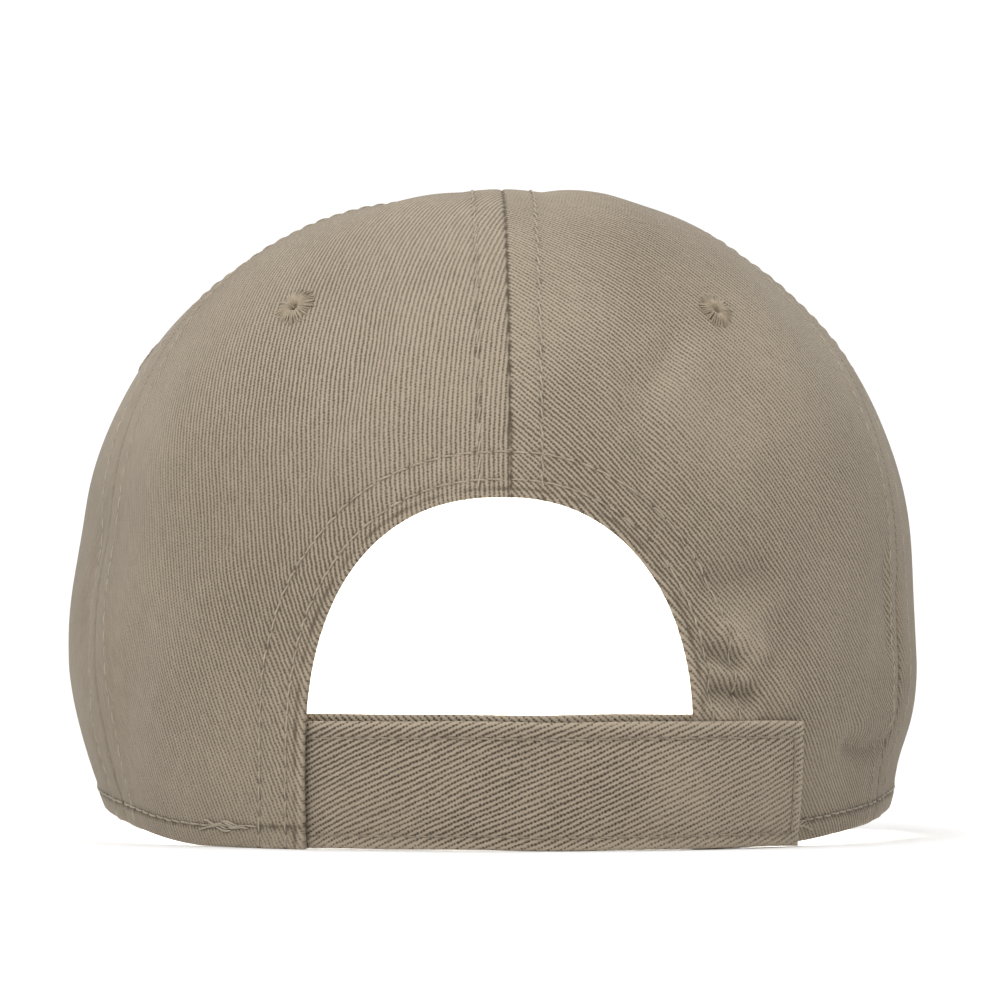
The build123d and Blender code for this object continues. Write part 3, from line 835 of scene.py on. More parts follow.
LOOP_LOOK = plastic_tape("loop_nylon", (0.36, 0.30, 0.23), (0.20, 0.165, 0.12))


def make_threads(name, rows, look=THREAD_LOOK, body="crown"):
    return make_object(name, *gather(rows), look, body, slot="eyelet_thread")


# ---- crown panels -----------------------------------------------------------------------
# each: first and last seam, direction of the twill
PANELS = {
    "rear_left": (0.0, REAR_SEAM, 97.5),
    "side_left": (REAR_SEAM, FRONT_SEAM, 62.0),
    "front_left": (FRONT_SEAM, 180.0, 118.0),
    "front_right": (180.0, 360.0 - FRONT_SEAM, 62.0),
    "side_right": (360.0 - FRONT_SEAM, 360.0 - REAR_SEAM, 118.0),
    "rear_right": (-REAR_SEAM, 0.0, -49.0),
}


def node_name(piece, kind):
    place, side = piece.split("_")
    return f"{place}_{kind}_{side}"


def punch_eyelet(plain, faces, angle, radius):
    """Leaves out the faces inside an eyelet's hole."""
    away = np.linalg.norm(plain - base_point(np.array(angle), np.array(EYELET_STATION)), axis=1)
    return [f for f in faces if np.mean(away[list(f)]) > radius]


def calm_share(angles, height):
    """How far the weave fades out, away from the back's middle. The same share darkens the colour as
    painted shade, more towards the sides and most low on the flank.
    """
    from_back = np.minimum(np.abs(angles), 360 - np.abs(angles))
    reach = np.where(angles < 0, 88.0, 42.0) + 26.0 * smooth((height - 70.0) / 40.0)
    calm = 0.56 - 0.46 * bump(from_back, reach) + 0.3 * bump(angles + 40, 20) * bump(height - 128, 18)
    # Painted shade, darker low on the flank between about 50 and 95 degrees.
    shaded = smooth((angles - 48) / 24) * (1 - smooth((angles - 95) / 25))
    return calm + 0.55 * shaded * (1 - smooth((height - 70) / 40)), from_back


def make_panel(piece, start, end, lean):
    arched = piece.startswith("rear")
    angles, stations = panel_grid(start, end)
    faces = [f[::-1] for f in grid_faces(*angles.shape)]
    angles, stations = angles.ravel(), stations.ravel()
    if arched:
        angles, stations, faces = open_arch(angles, stations, faces)
    middle = (start + end) / 2
    plain = base_point(angles, stations)
    faces = punch_eyelet(plain, faces, middle, PANEL_HOLE)
    relief, worn, ditch = panel_relief(angles, stations, (start, end), arched)
    calm, from_back = calm_share(angles, plain[:, 2])
    crease = fold_height(angles, stations, SHARP_FOLD)
    near_strap = bump(angles + 28, 14)
    # Painted light: the upper back is lightened as if lit from above.
    worn = worn + 0.7 * bump(plain[:, 2] - 98, 24) * bump(from_back, 70)
    # Painted highlight on the ridges of the narrow folds beside the strap, and painted shade in their
    # hollows.
    worn = worn + np.clip(crease, 0, 1.2) * near_strap
    ditch = ditch + np.clip(-0.13 * crease, 0, 0.22) * near_strap
    rim = above_rim(angles, stations)
    inner_depth = 1.0 + 0.3 * (1 - smooth((rim - HEM_ROW) / 1.5)) - roll(rim) * 0.6
    if arched:
        away, _ = arch_distance(plain)
        hem = 1 - smooth((away - ARCH_ROWS[1] - 0.5) / 1.5)
        inner_depth = np.maximum(inner_depth, 1.0 + 0.55 * hem) - 0.9 * roll(away)
    sheets = (crown_point(angles, stations, -relief),
              crown_point(angles, stations, np.maximum(inner_depth, 0.35 - relief)))
    low, floor = rim < 6, panel_foot(angles)
    for sheet in sheets:
        sheet[low, 2] = np.maximum(sheet[low, 2], floor[low])
    uv = weave_uv(angles, stations, middle, lean)
    if piece == "rear_left":
        uv = drag_twill(uv, angles, stations, middle)
    make_shell(f"{piece}_panel", *sheets, faces, PANEL_CLOTH, "crown", uv,
               {"worn": worn, "ditch": ditch, "calm": calm}, "khaki_twill",
               (node_name(piece, "panel"),))


def thread_ends(edge, side):
    """The loose bunch of threads where the hem's row is locked beside the strap."""
    rows = []
    for number, shift in enumerate((-0.5, -0.2, 0.05, 0.3, 0.55)):
        near = np.linspace(edge + 1.6 + 0.5 * number, edge + 11.5 - 0.4 * number, 70)
        swing = 0.38 * np.sin(near * (1.1 + 0.13 * number) + 2.1 * number)
        lift = station_at_height(HEM_ROW * 0.97 + shift + swing)
        rows.append((near * side, lift, dict(pitch=5.2, radius=0.23, slant=0.06,
                                             sink=-0.18 - 0.05 * (number % 2))))
    return rows


def make_panel_stitches(piece, start, end):
    arched = piece.startswith("rear")
    rows = []
    for seam, way in ((start, 1), (end, -1)):
        low = station_at_height(rim_height(np.array(seam, float)))
        if arched and seam == 0.0:
            low = rear_place(np.array(0.0), np.array(OPENING_TOP + 1.0))[1]
        stations = np.linspace(low + 0.002, 0.955, 260)
        angles = seam + way * np.degrees(SEAM_ROW / crown_radius(seam, stations))
        if arched and seam == 0.0:
            clear = arch_distance(base_point(angles, stations))[0] > 0.8
            angles, stations = angles[clear], stations[clear]
        sink, slant = (0.0, 0.16 * way) if seam % 360 == 0 else (0.12, 0.05)
        rows.append((angles, stations, dict(slant=slant, sink=sink)))
    first, last, edge = start, end, 33.0
    if arched:
        side = 1 if start == 0.0 else -1
        for row in ARCH_ROWS:
            line = ARCH + row * ARCH_NORMAL
            line = line[line[:, 0] * side >= 0]
            rows.append((*rear_place(line[:, 0], line[:, 1]), {}))
        first, last = (edge, end) if side > 0 else (start, -edge)
    angles = np.linspace(first + 0.3, last - 0.3, 300)
    rows.append((angles, station_at_height(rim_height(angles) + HEM_ROW * 0.97), {}))
    if arched:
        rows += thread_ends(edge, side)
    sewn = []
    for angles, stations, how in rows:
        relief, _, _ = panel_relief(angles, stations, (start, end), arched)
        sewn.append(stitch_row(crown_point(angles, stations, -relief),
                               base_normal(angles, stations), **how))
    make_threads(f"{piece}_stitching", sewn)


# ---- eyelets ----------------------------------------------------------------------------
def make_eyelet(piece, start, end):
    """A hole bound with radial buttonhole stitches over a low ring."""
    place = np.array((start + end) / 2), np.array(EYELET_STATION)
    origin, out = crown_point(*place), base_normal(*place)
    side = unit(np.cross((0, 0, 1), out))
    up = np.cross(out, side)
    threads, knots, around = 42, 9, 48

    def spot(turn, radius, lift):
        """Point round the hole, on a face that sags with the crown."""
        spoke = np.cos(turn)[..., None] * side + np.sin(turn)[..., None] * up
        return origin + radius[..., None] * spoke + (lift - radius ** 2 / 150.0)[..., None] * out

    turn = np.arange(threads) * 2 * math.pi / threads + RANDOM.uniform(-0.03, 0.03, threads)
    share = np.linspace(0, 1, knots)
    reach = EYELET_RIM + RANDOM.uniform(-0.6, 0.5, threads)
    radius = EYELET_HOLE + (reach[:, None] - EYELET_HOLE) * share ** 1.15
    radius[:, 0] = EYELET_HOLE + 0.12
    lift = 0.55 * np.sin(math.pi * np.clip(share * 0.86 + 0.12, 0, 1)) ** 0.8 - 0.18
    lift[:2] = -1.3, -0.15
    lift = lift + RANDOM.uniform(-0.1, 0.1, (threads, 1))
    twist = turn[:, None] + (share - 0.5) * RANDOM.uniform(-0.14, 0.14, (threads, 1))
    centres = spot(twist, radius, lift)
    radii = np.broadcast_to(0.15 + 0.06 * np.sin(math.pi * share), (threads, knots))
    tubes = tube_set(centres, np.broadcast_to(out, centres.shape), radii)
    profile = [(EYELET_HOLE + 0.25, -1.5), (EYELET_HOLE + 0.2, -0.3), (EYELET_HOLE + 0.5, 0.0),
               (2.2, 0.1), (3.3, -0.02), (4.0, -0.2), (4.1, -0.5), (2.4, -1.6)]
    circle = np.arange(around) * 2 * math.pi / around
    ring = np.concatenate([spot(circle, np.full(around, r), h) for r, h in profile])
    points, faces = gather([tubes, (ring, ring_faces(len(profile), around, closed=True))])
    make_object(f"{piece}_eyelet", points, faces, EYELET_LOOK, "crown", slot="eyelet_thread",
                replaced=(node_name(piece, "eyelet"),))


# ---- linings ----------------------------------------------------------------------------
def lining(name, angles, stations, outer_depth, inner_depth, material, slot, punch=None, pitch=0.5):
    """A thin layer inside the crown on a grid of angles and stations."""
    faces = [f[::-1] for f in grid_faces(*angles.shape)]
    depths = [(depth + 0 * angles).ravel() for depth in (outer_depth, inner_depth)]
    angles, stations = angles.ravel(), stations.ravel()
    if punch is not None:
        faces = punch_eyelet(base_point(angles, stations), faces, punch, 2.3)
    sheets = [crown_point(angles, stations, depth) for depth in depths]
    uv = weave_uv(angles, stations, angles.mean(), 45.0, pitch)
    make_shell(name, *sheets, faces, material, "crown", uv, {}, slot, (name,))


def make_buckram(side, start, end):
    angles = np.linspace(start + 0.3, end - 0.3, 44)
    first = station_at_height(rim_height(angles) + 1.0)
    stations = first[None, :] + (0.93 - first[None, :]) * np.linspace(0, 1, 96)[:, None]
    lining(f"front_buckram_{side}", np.broadcast_to(angles, stations.shape), stations, 1.15, 1.5,
           BUCKRAM_CLOTH, "buckram", (start + end) / 2, 1.3)


def make_tape(name, seam):
    """Cotton tape over a seam's inside, with its two edges sewn down."""
    sewn_at = 5.3
    first = station_at_height(rim_height(np.array(seam)) + 1.0)
    if seam == 0.0:
        first = rear_place(np.array(0.0), np.array(OPENING_TOP + 0.6))[1]
    stations = np.linspace(float(first), 0.95, 120)
    stations = stations[crown_radius(seam, stations) > 15.0]
    radius = crown_radius(seam, stations)
    across = np.array([-1, -.97, -.9, -.8, -.6, -.3, 0, .3, .6, .8, .9, .97, 1]) * 6.5
    swell = 0.25 * bump(np.abs(across) - 2.5, 1.6) - 0.12 * bump(np.abs(across) - sewn_at, 0.7)
    angles = seam + np.degrees(across[None, :] / radius[:, None])
    lining(name, angles, np.broadcast_to(stations[:, None], angles.shape), 1.75,
           2.15 + swell - 0.25 * (np.abs(across) > 6.4), TAPE_CLOTH, "seam_tape")
    rows = []
    for way in (-1, 1):
        beside = seam + way * np.degrees(sewn_at / radius)
        rows.append(stitch_row(crown_point(beside, stations, 2.1), -base_normal(beside, stations),
                               pitch=3.2))
    make_threads(f"{name}_stitches", rows)


def make_facing(side, way):
    """Bias facing sewn inside the opening's edge."""
    pick = np.flatnonzero(ARCH[:, 0] * way >= 0)
    pick = np.unique(np.append(pick[::4], pick[-1]))
    rings = np.array([0.9, 1.1, 1.6, 2.6, 3.5, 5.0, 7.0, 9.0, 10.2, 10.8, 11.0])
    spot = ARCH[pick][None] + rings[:, None, None] * ARCH_NORMAL[pick][None]
    spot[..., 0] = np.where(np.abs(spot[..., 0]) < 0.1, 0.06 * way, spot[..., 0])
    angles, stations = rear_place(spot[..., 0], np.maximum(spot[..., 1], 0.4))
    thin = 0.16 * bump(np.minimum(rings - rings[0], rings[-1] - rings), 0.25)
    rows = 0.1 * (bump(rings - ARCH_ROWS[0], 0.7) + bump(rings - ARCH_ROWS[1], 0.7))
    depth = (1.88 - thin - rows)[:, None]
    if way < 0:
        angles, stations, depth = angles[::-1], stations[::-1], depth[::-1]
    lining(f"opening_facing_{side}", angles[:, ::-1], stations[:, ::-1], 1.58, depth, TAPE_CLOTH,
           "khaki_lining")


def make_sweatband():
    """Folded cotton band over thin foam: pinched by the hem row, rounded at the top fold."""
    height, thick = 32.0, 2.2
    face = 0.7 + (height - 0.7) * np.linspace(0, 1, 26) ** 0.9
    fold = np.linspace(0, math.pi, 8)[1:-1]
    lift = np.concatenate([face, height + np.sin(fold) * 0.8, face[::-1]])
    inside = np.concatenate([0 * face, (1 - np.cos(fold)) / 2, 0 * face + 1])
    angles = np.linspace(33.5, 326.5, 460)[:, None]
    around = np.radians(angles)
    ends = np.minimum(angles - angles[0], angles[-1] - angles) / 1.2
    swell = smooth((lift - HEM_ROW) / 5.0) * smooth((33.5 - lift) / 2.0)
    wave = 0.22 * np.sin(31 * around + 0.12 * lift) + 0.16 * np.sin(57 * around - 0.1 * lift)
    plump = (0.55 + 0.45 * swell) * (0.35 + 0.65 * smooth(ends))
    depth = 2.35 + inside * (thick * plump + wave * swell)
    angles = np.broadcast_to(angles, depth.shape)
    reach = visor_share(angles) * 3.6 * smooth((6.0 - lift) / 6.0)
    points = crown_point(angles, station_at_height(rim_height(angles) + lift - reach), depth)
    rows, columns = depth.shape
    faces = [f[:1] + f[:0:-1] for f in ring_faces(rows, columns)]
    faces.append(tuple(range(columns))[::-1])
    faces.append(tuple((rows - 1) * columns + i for i in range(columns)))
    uv = turned_uv(-around * 90.0, lift * np.where(inside > 0.5, 1, -1), 62.0, 1.0)
    band = make_object("sweatband", points.reshape(-1, 3), faces, BAND_CLOTH, "crown",
                       uv.reshape(-1, 2), slot="sweatband_cloth",
                       replaced=("sweatband_sleeve", "sweatband_foam"))
    sewn = []
    for lift, depth in ((HEM_ROW, 3.55), (29.0, 4.4)):
        for first, last in ((34.0, 130.0), (130.0, 230.0), (230.0, 326.0)):
            angles = np.linspace(first, last, 300)
            stations = station_at_height(rim_height(angles) + lift)
            sewn.append(stitch_row(crown_point(angles, stations, depth),
                                   -base_normal(angles, stations)))
    make_threads("sweatband_stitches", sewn)


# ---- visor ------------------------------------------------------------------------------
def visor_outline(count=420):
    """Outer edge of the visor from the left corner round the front to the right corner."""
    corner = base_point(np.array(FRONT_SEAM), station_at_height(8.0))[:2]
    front = rounded_arch(400, VISOR_HALF_WIDTH, VISOR_POWER, VISOR_WIDEST_Y,
                         VISOR_FRONT_Y - VISOR_WIDEST_Y)
    share = np.linspace(0, 1, 80)[:, None]
    reach = np.linalg.norm(front[0] - corner)
    leave, arrive = unit(np.array([0.45, -1.0])) * reach, np.array([0.0, -1.0]) * reach
    side = corner + (3 * share ** 2 - 2 * share ** 3) * (front[0] - corner)
    side += (share ** 3 - 2 * share ** 2 + share) * leave + (share ** 3 - share ** 2) * arrive
    line = np.concatenate([side[:-1], front, (side * (-1, 1))[::-1][1:]])
    steps = lengths_along(line)
    even = np.linspace(0, steps[-1], count)
    return sample(even, steps, line), even


def visor_inner(share):
    """Inner edge, tucked under the crown's rim, from the left corner to the right one."""
    angle = FRONT_SEAM + (360 - 2 * FRONT_SEAM) * share
    turn = np.radians(angle)
    radius = crown_radius(angle, station_at_height(rim_height(angle))) - VISOR_TUCK
    return np.stack([radius * np.sin(turn), radius * np.cos(turn)], -1)


def off_outline(points, outline):
    """Distance from the visor's outline, and its nearest point."""
    which = nearest_on(outline, points)
    return np.linalg.norm(points - outline[which], axis=1), which


def visor_stitches(outline, way):
    """Parallel rows that stop at the crown's rim."""
    sewn = []
    for row in VISOR_ROWS:
        line = outline + row * outward(outline)
        turn = np.degrees(np.arctan2(line[:, 0], line[:, 1])) % 360
        rim = crown_radius(turn, station_at_height(rim_height(turn)))
        in_front = np.hypot(line[:, 0], line[:, 1]) > rim + 0.6
        line = line[(off_outline(line, outline)[0] > row - 0.4) & in_front]
        if len(line) < 20:
            continue
        middle = visor_top(line[:, 0], line[:, 1]) - 0.1 - VISOR_THICKNESS / 2
        path = np.column_stack([line, middle + way * (VISOR_THICKNESS / 2 - 0.22)])
        gaps = np.flatnonzero(np.linalg.norm(np.diff(path, axis=0), axis=1) > 6)
        for part in np.split(path, gaps + 1):
            if len(part) > 8:
                sewn.append(stitch_row(part, np.tile((0.0, 0.0, float(way)), (len(part), 1))))
    return sewn


def make_visor():
    outline, lengths = visor_outline()
    share = np.linspace(0, 1, 240)
    outer = sample(share * lengths[-1], lengths, outline)
    inner = visor_inner(smooth(share) * 0.35 + share * 0.65)
    fine = np.array([0, .08, .25, .55, 1.0, 1.6, 2.3, 3.2, 4.1, 5.0]) / 68.0
    inwards = np.concatenate([fine, np.linspace(fine[-1], 1, 76)[1:]])[::-1]
    flat = (outer[None] + (inner - outer)[None] * inwards[:, None, None]).reshape(-1, 2)
    away, which = off_outline(flat, outline)
    away = np.where(np.repeat(inwards, len(share)) == 0, 0, away)
    relief = -0.97 * roll(away, VISOR_THICKNESS / 2)
    for row in VISOR_ROWS:
        relief -= (0.2 + 0.14 * needle(lengths[which])) * bump(away - row, 0.8)
    middle = visor_top(flat[:, 0], flat[:, 1]) - 0.1 - VISOR_THICKNESS / 2
    faces = grid_faces(len(inwards), len(share))
    # The visor's edge is lightened for wear and painted highlight, with a thin line of painted shade
    # along it; the weave fades and darkens evenly.
    shade = {"worn": bump(away, 1.0), "ditch": bump(away, 0.25) * 0.6, "calm": 0 * away + 0.45}
    for name, way, nodes in (("visor_upper_cover", 1, ("visor_upper_cover", "visor_board")),
                             ("visor_under_cover", -1, ("visor_under_cover",))):
        make_shell(name, np.column_stack([flat, middle + way * (VISOR_THICKNESS / 2 + relief)]),
                   np.column_stack([flat, middle + way * 0.03]), [f[::-way] for f in faces],
                   VISOR_CLOTH, "crown", turned_uv(flat[:, 0] * way, flat[:, 1], 40.0), shade,
                   "khaki_twill", nodes)
        make_threads(f"{name}_stitches", visor_stitches(outline, way))


# ---- button -----------------------------------------------------------------------------
def make_button():
    """Cloth drawn over a domed cap, with small gathers at its edge."""
    tilt = math.radians(POLE_TILT)
    out, side = np.array([0, -math.sin(tilt), math.cos(tilt)]), np.array([1.0, 0, 0])
    origin = np.array([0, 0, POLE_HEIGHT]) + out * 0.1
    around = 96
    profile = [(0.01, 3.4), (1.2, 3.36), (2.6, 3.2), (4.0, 2.9), (5.3, 2.45), (6.4, 1.9), (7.2, 1.35),
               (7.75, 0.8), (7.95, 0.35), (7.9, 0.0), (7.5, -0.12), (6.5, -0.12), (3.0, -0.1),
               (0.01, -0.1)]
    turn = np.arange(around) * 2 * math.pi / around
    circle = np.stack([np.cos(turn), np.sin(turn)], 1)
    spoke = circle @ np.stack([side, np.cross(out, side)])
    points, uv = [], []
    for r, h in profile:
        edge = smooth((r - 5.2) / 2.4) * (h > -0.05)
        radius = r + 0.09 * edge * (np.sin(13 * turn + 0.5) + 0.6 * np.sin(21 * turn))
        points.append(origin + radius[:, None] * spoke + h * out)
        uv.append(circle * (r + max(0.0, 2.4 - h)) / WALE)
    faces = ring_faces(len(profile), around)
    faces.append(tuple(range(around)))
    faces.append(tuple((len(profile) - 1) * around + k for k in reversed(range(around))))
    make_object("button_cloth", np.concatenate(points), faces, PANEL_CLOTH, "crown",
                np.concatenate(uv), slot="khaki_twill", replaced=("button_cloth_cover",))
    for node in ("button_shell", "button_rivet", "button_backing_plate"):
        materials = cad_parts[node].data.materials
        materials.clear()
        materials.append(METAL_LOOK)


# ---- back straps ------------------------------------------------------------------------
STRAP_LIFTS = np.array([0, .12, .35, .75, 1.3, 1.9, 2.3, 2.6, 2.9, 3.4, 4.4, 6.0, 8.0, 10.5, 12.7, 15,
                        17.4, 19.4, 20.8, 21.4, 21.75, 22.0, 22.3, 22.8, 23.4, 24.1, 24.65, 25.05,
                        25.28, 25.4])


def hook_depth(angle):
    share = smooth((angle - RIGHT_EDGE) / (LEFT_EDGE - RIGHT_EDGE))
    return HOOK_OUTSIDE + (HOOK_INSIDE - HOOK_OUTSIDE) * share


def loop_depth(angle):
    share = smooth((angle - RIGHT_EDGE - 2) / 9.0)
    return HOOK_INSIDE * (1 - share) + (hook_depth(angle) + STRAP_NESTING) * share


def strap_point(angle, depth, height):
    """Point of a strap, which leans with the plain crown."""
    station = station_at_height(height)
    climb = base_point(angle, station + 0.004) - base_point(angle, station - 0.004)
    slope = climb[..., 2] / np.linalg.norm(climb, axis=-1)
    radius = crown_radius(angle, station) - depth / slope
    turn = np.radians(angle)
    return np.stack(np.broadcast_arrays(radius * np.sin(turn), radius * np.cos(turn), height), -1)


def strap_length(angles):
    return lengths_along(strap_point(angles, 0 * angles, 13.0 + 0 * angles))


def make_strap(name, first, last, depth_of, bottom, blend_angles, lean):
    """Folded and topstitched cloth strap from its free end (first) to its sewn end (last)."""
    thick = STRAP_CLOTH / 2
    ends = np.array([0, .0008, .003, .007]) * (last - first)
    angles = np.concatenate([first + ends, np.linspace(first, last, 300)[4:-3], last - ends[::-1]])
    run = strap_length(angles)
    order = np.argsort(angles)

    def place(at_angles, lift, deeper):
        """Point of the wavy strap. A free end on the right hangs more upright than the crown."""
        at = np.interp(at_angles, angles[order], run[order])
        swing = 0.10 * np.sin(at / 9.0) + 0.07 * np.sin(at / 4.3 + 1)
        rise = 0.12 * np.sin(at / 11.0) + 0.08 * np.sin(at / 5.1)
        upright = (first < 0) * (0.5 - 1.9 * (1 - lift / STRAP_WIDTH))
        turned = at_angles + upright * smooth((-at_angles - 22) / 16)
        return strap_point(turned, depth_of(at_angles) + swing + deeper, bottom + lift + rise)

    along, total = run[:, None], run[-1]
    edge, free = np.minimum(STRAP_LIFTS, STRAP_WIDTH - STRAP_LIFTS), np.minimum(along, total - along)
    sewn = bump(STRAP_LIFTS - STRAP_ROWS[0], 0.55) + bump(STRAP_LIFTS - STRAP_ROWS[1], 0.55)
    puff = smooth((3.8 - edge) / 1.5) * 0.12 - (0.2 + 0.16 * needle(along)) * sewn
    puff = puff - 0.26 * bump(along - STRAP_END_ROW, 0.55)
    skin = np.maximum(thick - np.maximum(roll(edge, thick), roll(free, thick)) + puff, 0.03)
    sheets = [place(angles[:, None], STRAP_LIFTS, way * skin).reshape(-1, 3) for way in (-1, 1)]
    rightwards = first < last
    faces = [f if rightwards else f[::-1] for f in grid_faces(len(angles), len(STRAP_LIFTS))]
    uv = turned_uv(-along if rightwards else along - total, STRAP_LIFTS, lean, STRAP_WALE)
    # The strap's edges and ends are lightened for wear and painted highlight.
    worn = 2.6 * np.maximum(bump(edge, 1.0), bump(free, 1.0)).ravel()
    strap = make_shell(name, *sheets, faces, STRAP_CLOTH_LOOK, None, uv.reshape(-1, 2),
                       {"worn": worn, "ditch": 0 * worn}, "strap_twill", (name, f"{name}_tab"))
    inset = (last - first) * 0.03
    rows = []
    for way in (-1, 1):
        lines = [(np.linspace(first + inset, last - inset, 320), row + np.zeros(320))
                 for row in STRAP_ROWS]
        lines.append((np.interp(STRAP_END_ROW, run, angles) + np.zeros(40),
                      np.linspace(*STRAP_ROWS, 40)))
        for at_angles, lift in lines:
            normals = base_normal(at_angles, station_at_height(bottom + lift)) * -way
            rows.append(stitch_row(place(at_angles, lift, way * (thick - 0.2)), normals, pitch=3.3))
    sewing = make_threads(f"{name}_stitches", rows, STRAP_THREAD, None)
    start, end = (strap_point(np.array(a), depth_of(np.array(a)), np.array(13.2)) * MM
                  for a in blend_angles)
    for piece in (strap, sewing):
        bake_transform(piece)


def tape_plate(first, last, depth_of, outer, inner, bottom):
    """Thin hook or loop backing."""
    angles = np.linspace(first, last, 160)[:, None]
    height = bottom + np.linspace(0, STRAP_TAPE_WIDTH, 40) + 0 * angles
    near, far = (strap_point(angles + 0 * height, depth_of(angles) + depth, height).reshape(-1, 3)
                 for depth in (outer, inner))
    run = strap_length(angles.ravel())[:, None] + 0 * height
    uv = np.stack([run, height], -1).reshape(-1, 2) / 0.7
    return closed_shell(near, far, grid_faces(*height.shape)), np.concatenate([uv, uv])


def make_nylon(name, plate, uv, tubes, look):
    """A strap's tape: its backing with the hooks or loops that stand on it."""
    kind, _ = name.split("_")
    points, faces = gather([plate, *tubes])
    uv = np.concatenate([uv, np.zeros((len(points) - len(uv), 2))])
    make_object(name, points, faces, look, f"{kind}_strap", uv, slot=f"{kind}_nylon",
                replaced=(name,))


def make_hook_tape():
    outer = STRAP_CLOTH / 2 + 0.05
    inner = outer + STRAP_TAPE * 0.45
    bottom = HOOK_STRAP_BOTTOM + (STRAP_WIDTH - STRAP_TAPE_WIDTH) / 2
    heights = bottom + np.linspace(0.8, STRAP_TAPE_WIDTH - 0.8, 17)
    share = np.linspace(0, 1, 6)
    stem = np.clip(share * 1.6, 0, 1) * 0.42 - np.clip(share - 0.8, 0, 1) * 0.6
    curl = np.clip(share - 0.45, 0, 1) * 0.55
    hooks = []
    for angle in np.linspace(-36.6, -2.6, 46):
        angles = angle + 0 * heights
        base = strap_point(angles, hook_depth(angles) + inner, heights)
        into = -base_normal(angles, station_at_height(heights))
        centres = (base[:, None] + into[:, None] * stem[None, :, None]
                   + np.array([0, 0, 1.0]) * curl[None, :, None])
        side = np.broadcast_to(np.array([1.0, 0.0, 0.0]), centres.shape)
        radii = np.broadcast_to(np.array([.13, .12, .11, .1, .1, .08]), centres.shape[:2])
        hooks.append(tube_set(centres, side, radii, ring=4))
    plate, uv = tape_plate(-37.2, -2.0, hook_depth, outer, inner, bottom)
    make_nylon("hook_tape", plate, uv, hooks, HOOK_LOOK)


def make_loop_tape(count=2600):
    inner = -(STRAP_CLOTH / 2 + 0.05)
    outer = inner - STRAP_TAPE * 0.45
    bottom = LOOP_STRAP_BOTTOM + (STRAP_WIDTH - STRAP_TAPE_WIDTH) / 2
    angles = RANDOM.uniform(-17.1, 28.6, count)
    heights = bottom + RANDOM.uniform(0.5, STRAP_TAPE_WIDTH - 0.5, count)
    base = strap_point(angles, loop_depth(angles) + outer, heights)
    out = base_normal(angles, station_at_height(heights))
    turn = RANDOM.uniform(0, math.pi, count)[:, None]
    side = unit(np.cross(np.array([0, 0, 1.0]), out))
    lean = np.cos(turn) * side + np.sin(turn) * np.cross(out, side)
    share = np.linspace(0, math.pi, 6)[None, :, None]
    rise = RANDOM.uniform(0.22, 0.42, count)[:, None, None]
    width = RANDOM.uniform(0.25, 0.45, count)[:, None, None]
    centres = (base[:, None] + out[:, None] * (np.sin(share) * rise)
               + lean[:, None] * (-np.cos(share) * width))
    ups = np.broadcast_to(np.cross(out, lean)[:, None], centres.shape)
    loops = tube_set(centres, ups, np.full(centres.shape[:2], 0.045), ring=3)
    plate, uv = tape_plate(-17.5, 29.0, loop_depth, outer, inner, bottom)
    make_nylon("loop_tape", plate, uv, [loops], LOOP_LOOK)


# ---- studio -----------------------------------------------------------------------------
SKY_LOW, SKY_HIGH, BACKDROP = 0.30, 1.1, 1.06
FLOOR_HALF_WIDTH, FLOOR_FRONT, FLOOR_BACK = 6000, -1200, 6000


def make_floor():
    n = Look("floor_paper", 0.9, 0.0)
    paper = n.finish(n.noise(n.place(), 60.0, 2.0), (0.93, 0.93, 0.93), (0.90, 0.90, 0.90))
    corners = [(-FLOOR_HALF_WIDTH, FLOOR_FRONT, 0), (FLOOR_HALF_WIDTH, FLOOR_FRONT, 0),
               (FLOOR_HALF_WIDTH, FLOOR_BACK, 0), (-FLOOR_HALF_WIDTH, FLOOR_BACK, 0)]
    make_object("floor", corners, [(0, 1, 2, 3)], paper, None)


def make_world():
    """Brighter overhead than at the horizon, with a white backdrop beyond the visor."""
    world = bpy.data.worlds.new("studio")
    bpy.context.scene.world = world
    world.use_nodes = True
    n = Nodes(world.node_tree)
    back = n.tree.nodes["Background"]
    back.inputs["Color"].default_value = (1.0, 1.0, 1.0, 1.0)
    _, y, z = n.split(n.node("TexCoord", "Generated", {}))
    overhead = n.span(z, 0.05, 0.95, SKY_LOW, SKY_HIGH)
    backdrop = n.span(y, -0.97, -0.8, BACKDROP, 0.0)
    beyond_floor = n.span(z, -0.015, 0.0, 1.0, 0.0)
    n.put(back.inputs["Strength"], overhead.most(backdrop).most(beyond_floor))


def softbox(name, place, target, size, power):
    data = bpy.data.lights.new(name, "AREA")
    data.shape = "RECTANGLE"
    data.size, data.size_y = size
    data.energy = power
    light = bpy.data.objects.new(name, data)
    bpy.context.scene.collection.objects.link(light)
    light.location = place
    aim = Vector(target) - Vector(place)
    light.rotation_euler = aim.to_track_quat("-Z", "Y").to_euler()
    light.visible_camera = False


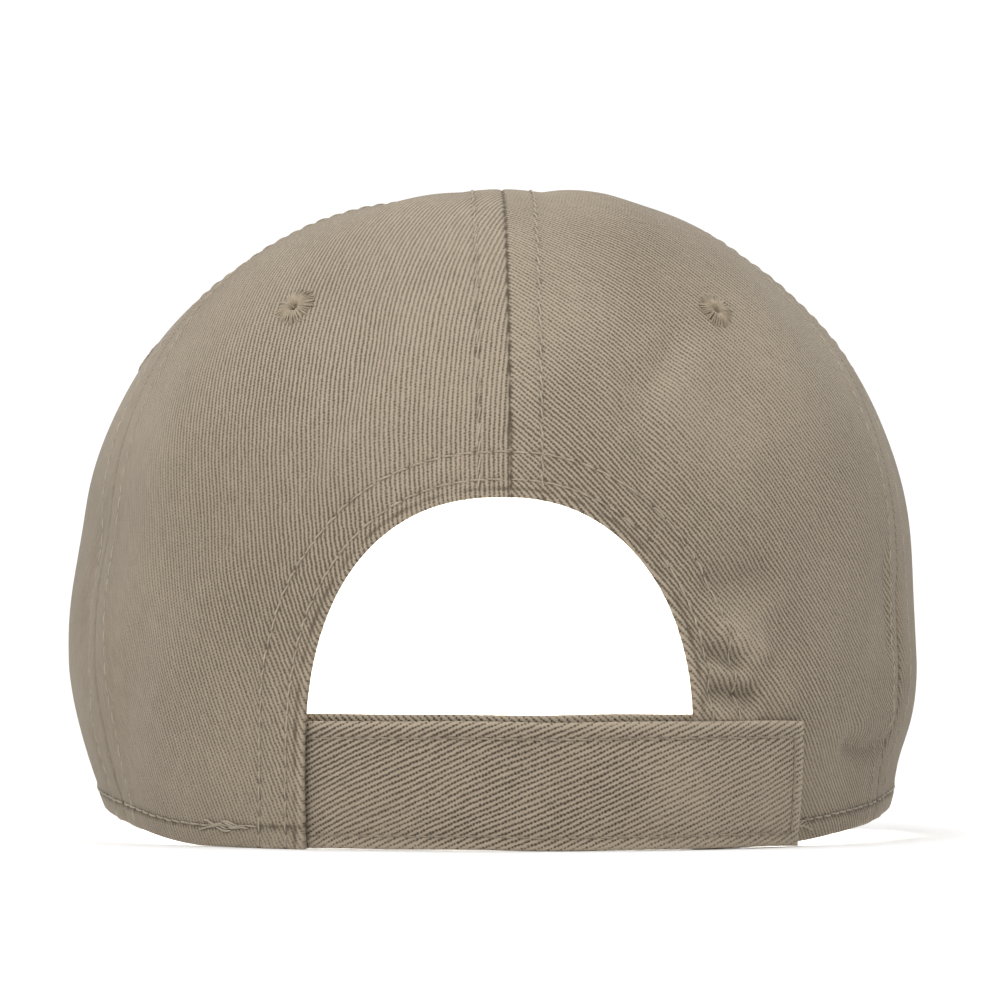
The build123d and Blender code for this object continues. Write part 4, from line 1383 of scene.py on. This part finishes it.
def make_camera():
    """Low behind the cap, looking slightly up, a little to the wearer's left."""
    scene = bpy.context.scene
    data = bpy.data.cameras.new("camera")
    camera = bpy.data.objects.new("camera", data)
    scene.collection.objects.link(camera)
    around, pitch, yaw = math.radians(1.7), math.radians(-2.41), math.radians(0.04)
    distance, height = 0.998, 0.0315
    camera.location = (distance * math.sin(around), distance * math.cos(around), height)
    turn = around + yaw
    look = Vector((-math.sin(turn) * math.cos(pitch), -math.cos(turn) * math.cos(pitch),
                   -math.sin(pitch)))
    camera.rotation_euler = look.to_track_quat("-Z", "Y").to_euler()
    data.sensor_width = 36.0
    data.lens = 164.1
    data.clip_start, data.clip_end = 0.05, 50.0
    scene.camera = camera
    scene.view_settings.view_transform = "Standard"


make_camera()
make_floor()
make_world()
cap_middle = (cad_low + cad_high) / 2
softbox("key", (0.45, 1.3, 1.1), cap_middle, (0.9, 0.7), 15.2)
softbox("top", (0.0, -0.2, 1.5), cap_middle, (1.2, 1.2), 8.0)
softbox("inside", (0.0, 0.005, 0.1), (0.0, -0.06, 0.03), (0.08, 0.05), 0.5)
for piece_name, (first_seam, last_seam, twill_lean) in PANELS.items():
    make_panel(piece_name, first_seam, last_seam, twill_lean)
    make_panel_stitches(piece_name, first_seam, last_seam)
    make_eyelet(piece_name, first_seam, last_seam)
make_buckram("left", FRONT_SEAM, 180.0)
make_buckram("right", 180.0, 360.0 - FRONT_SEAM)
for tape_name, tape_seam in (("back_seam_tape", 0.0), ("rear_seam_tape_left", REAR_SEAM),
                             ("side_seam_tape_left", FRONT_SEAM), ("front_seam_tape", 180.0),
                             ("side_seam_tape_right", 360.0 - FRONT_SEAM),
                             ("rear_seam_tape_right", 360.0 - REAR_SEAM)):
    make_tape(tape_name, tape_seam)
make_facing("left", 1)
make_facing("right", -1)
make_sweatband()
make_visor()
make_button()
make_strap("hook_strap", HOOK_END, TAB_END, hook_depth, HOOK_STRAP_BOTTOM, (26.0, 21.2), 24.0)
make_strap("loop_strap", LOOP_TIP, -TAB_END, loop_depth, LOOP_STRAP_BOTTOM, (-23.0, -18.4), -40.0)
make_hook_tape()
make_loop_tape()
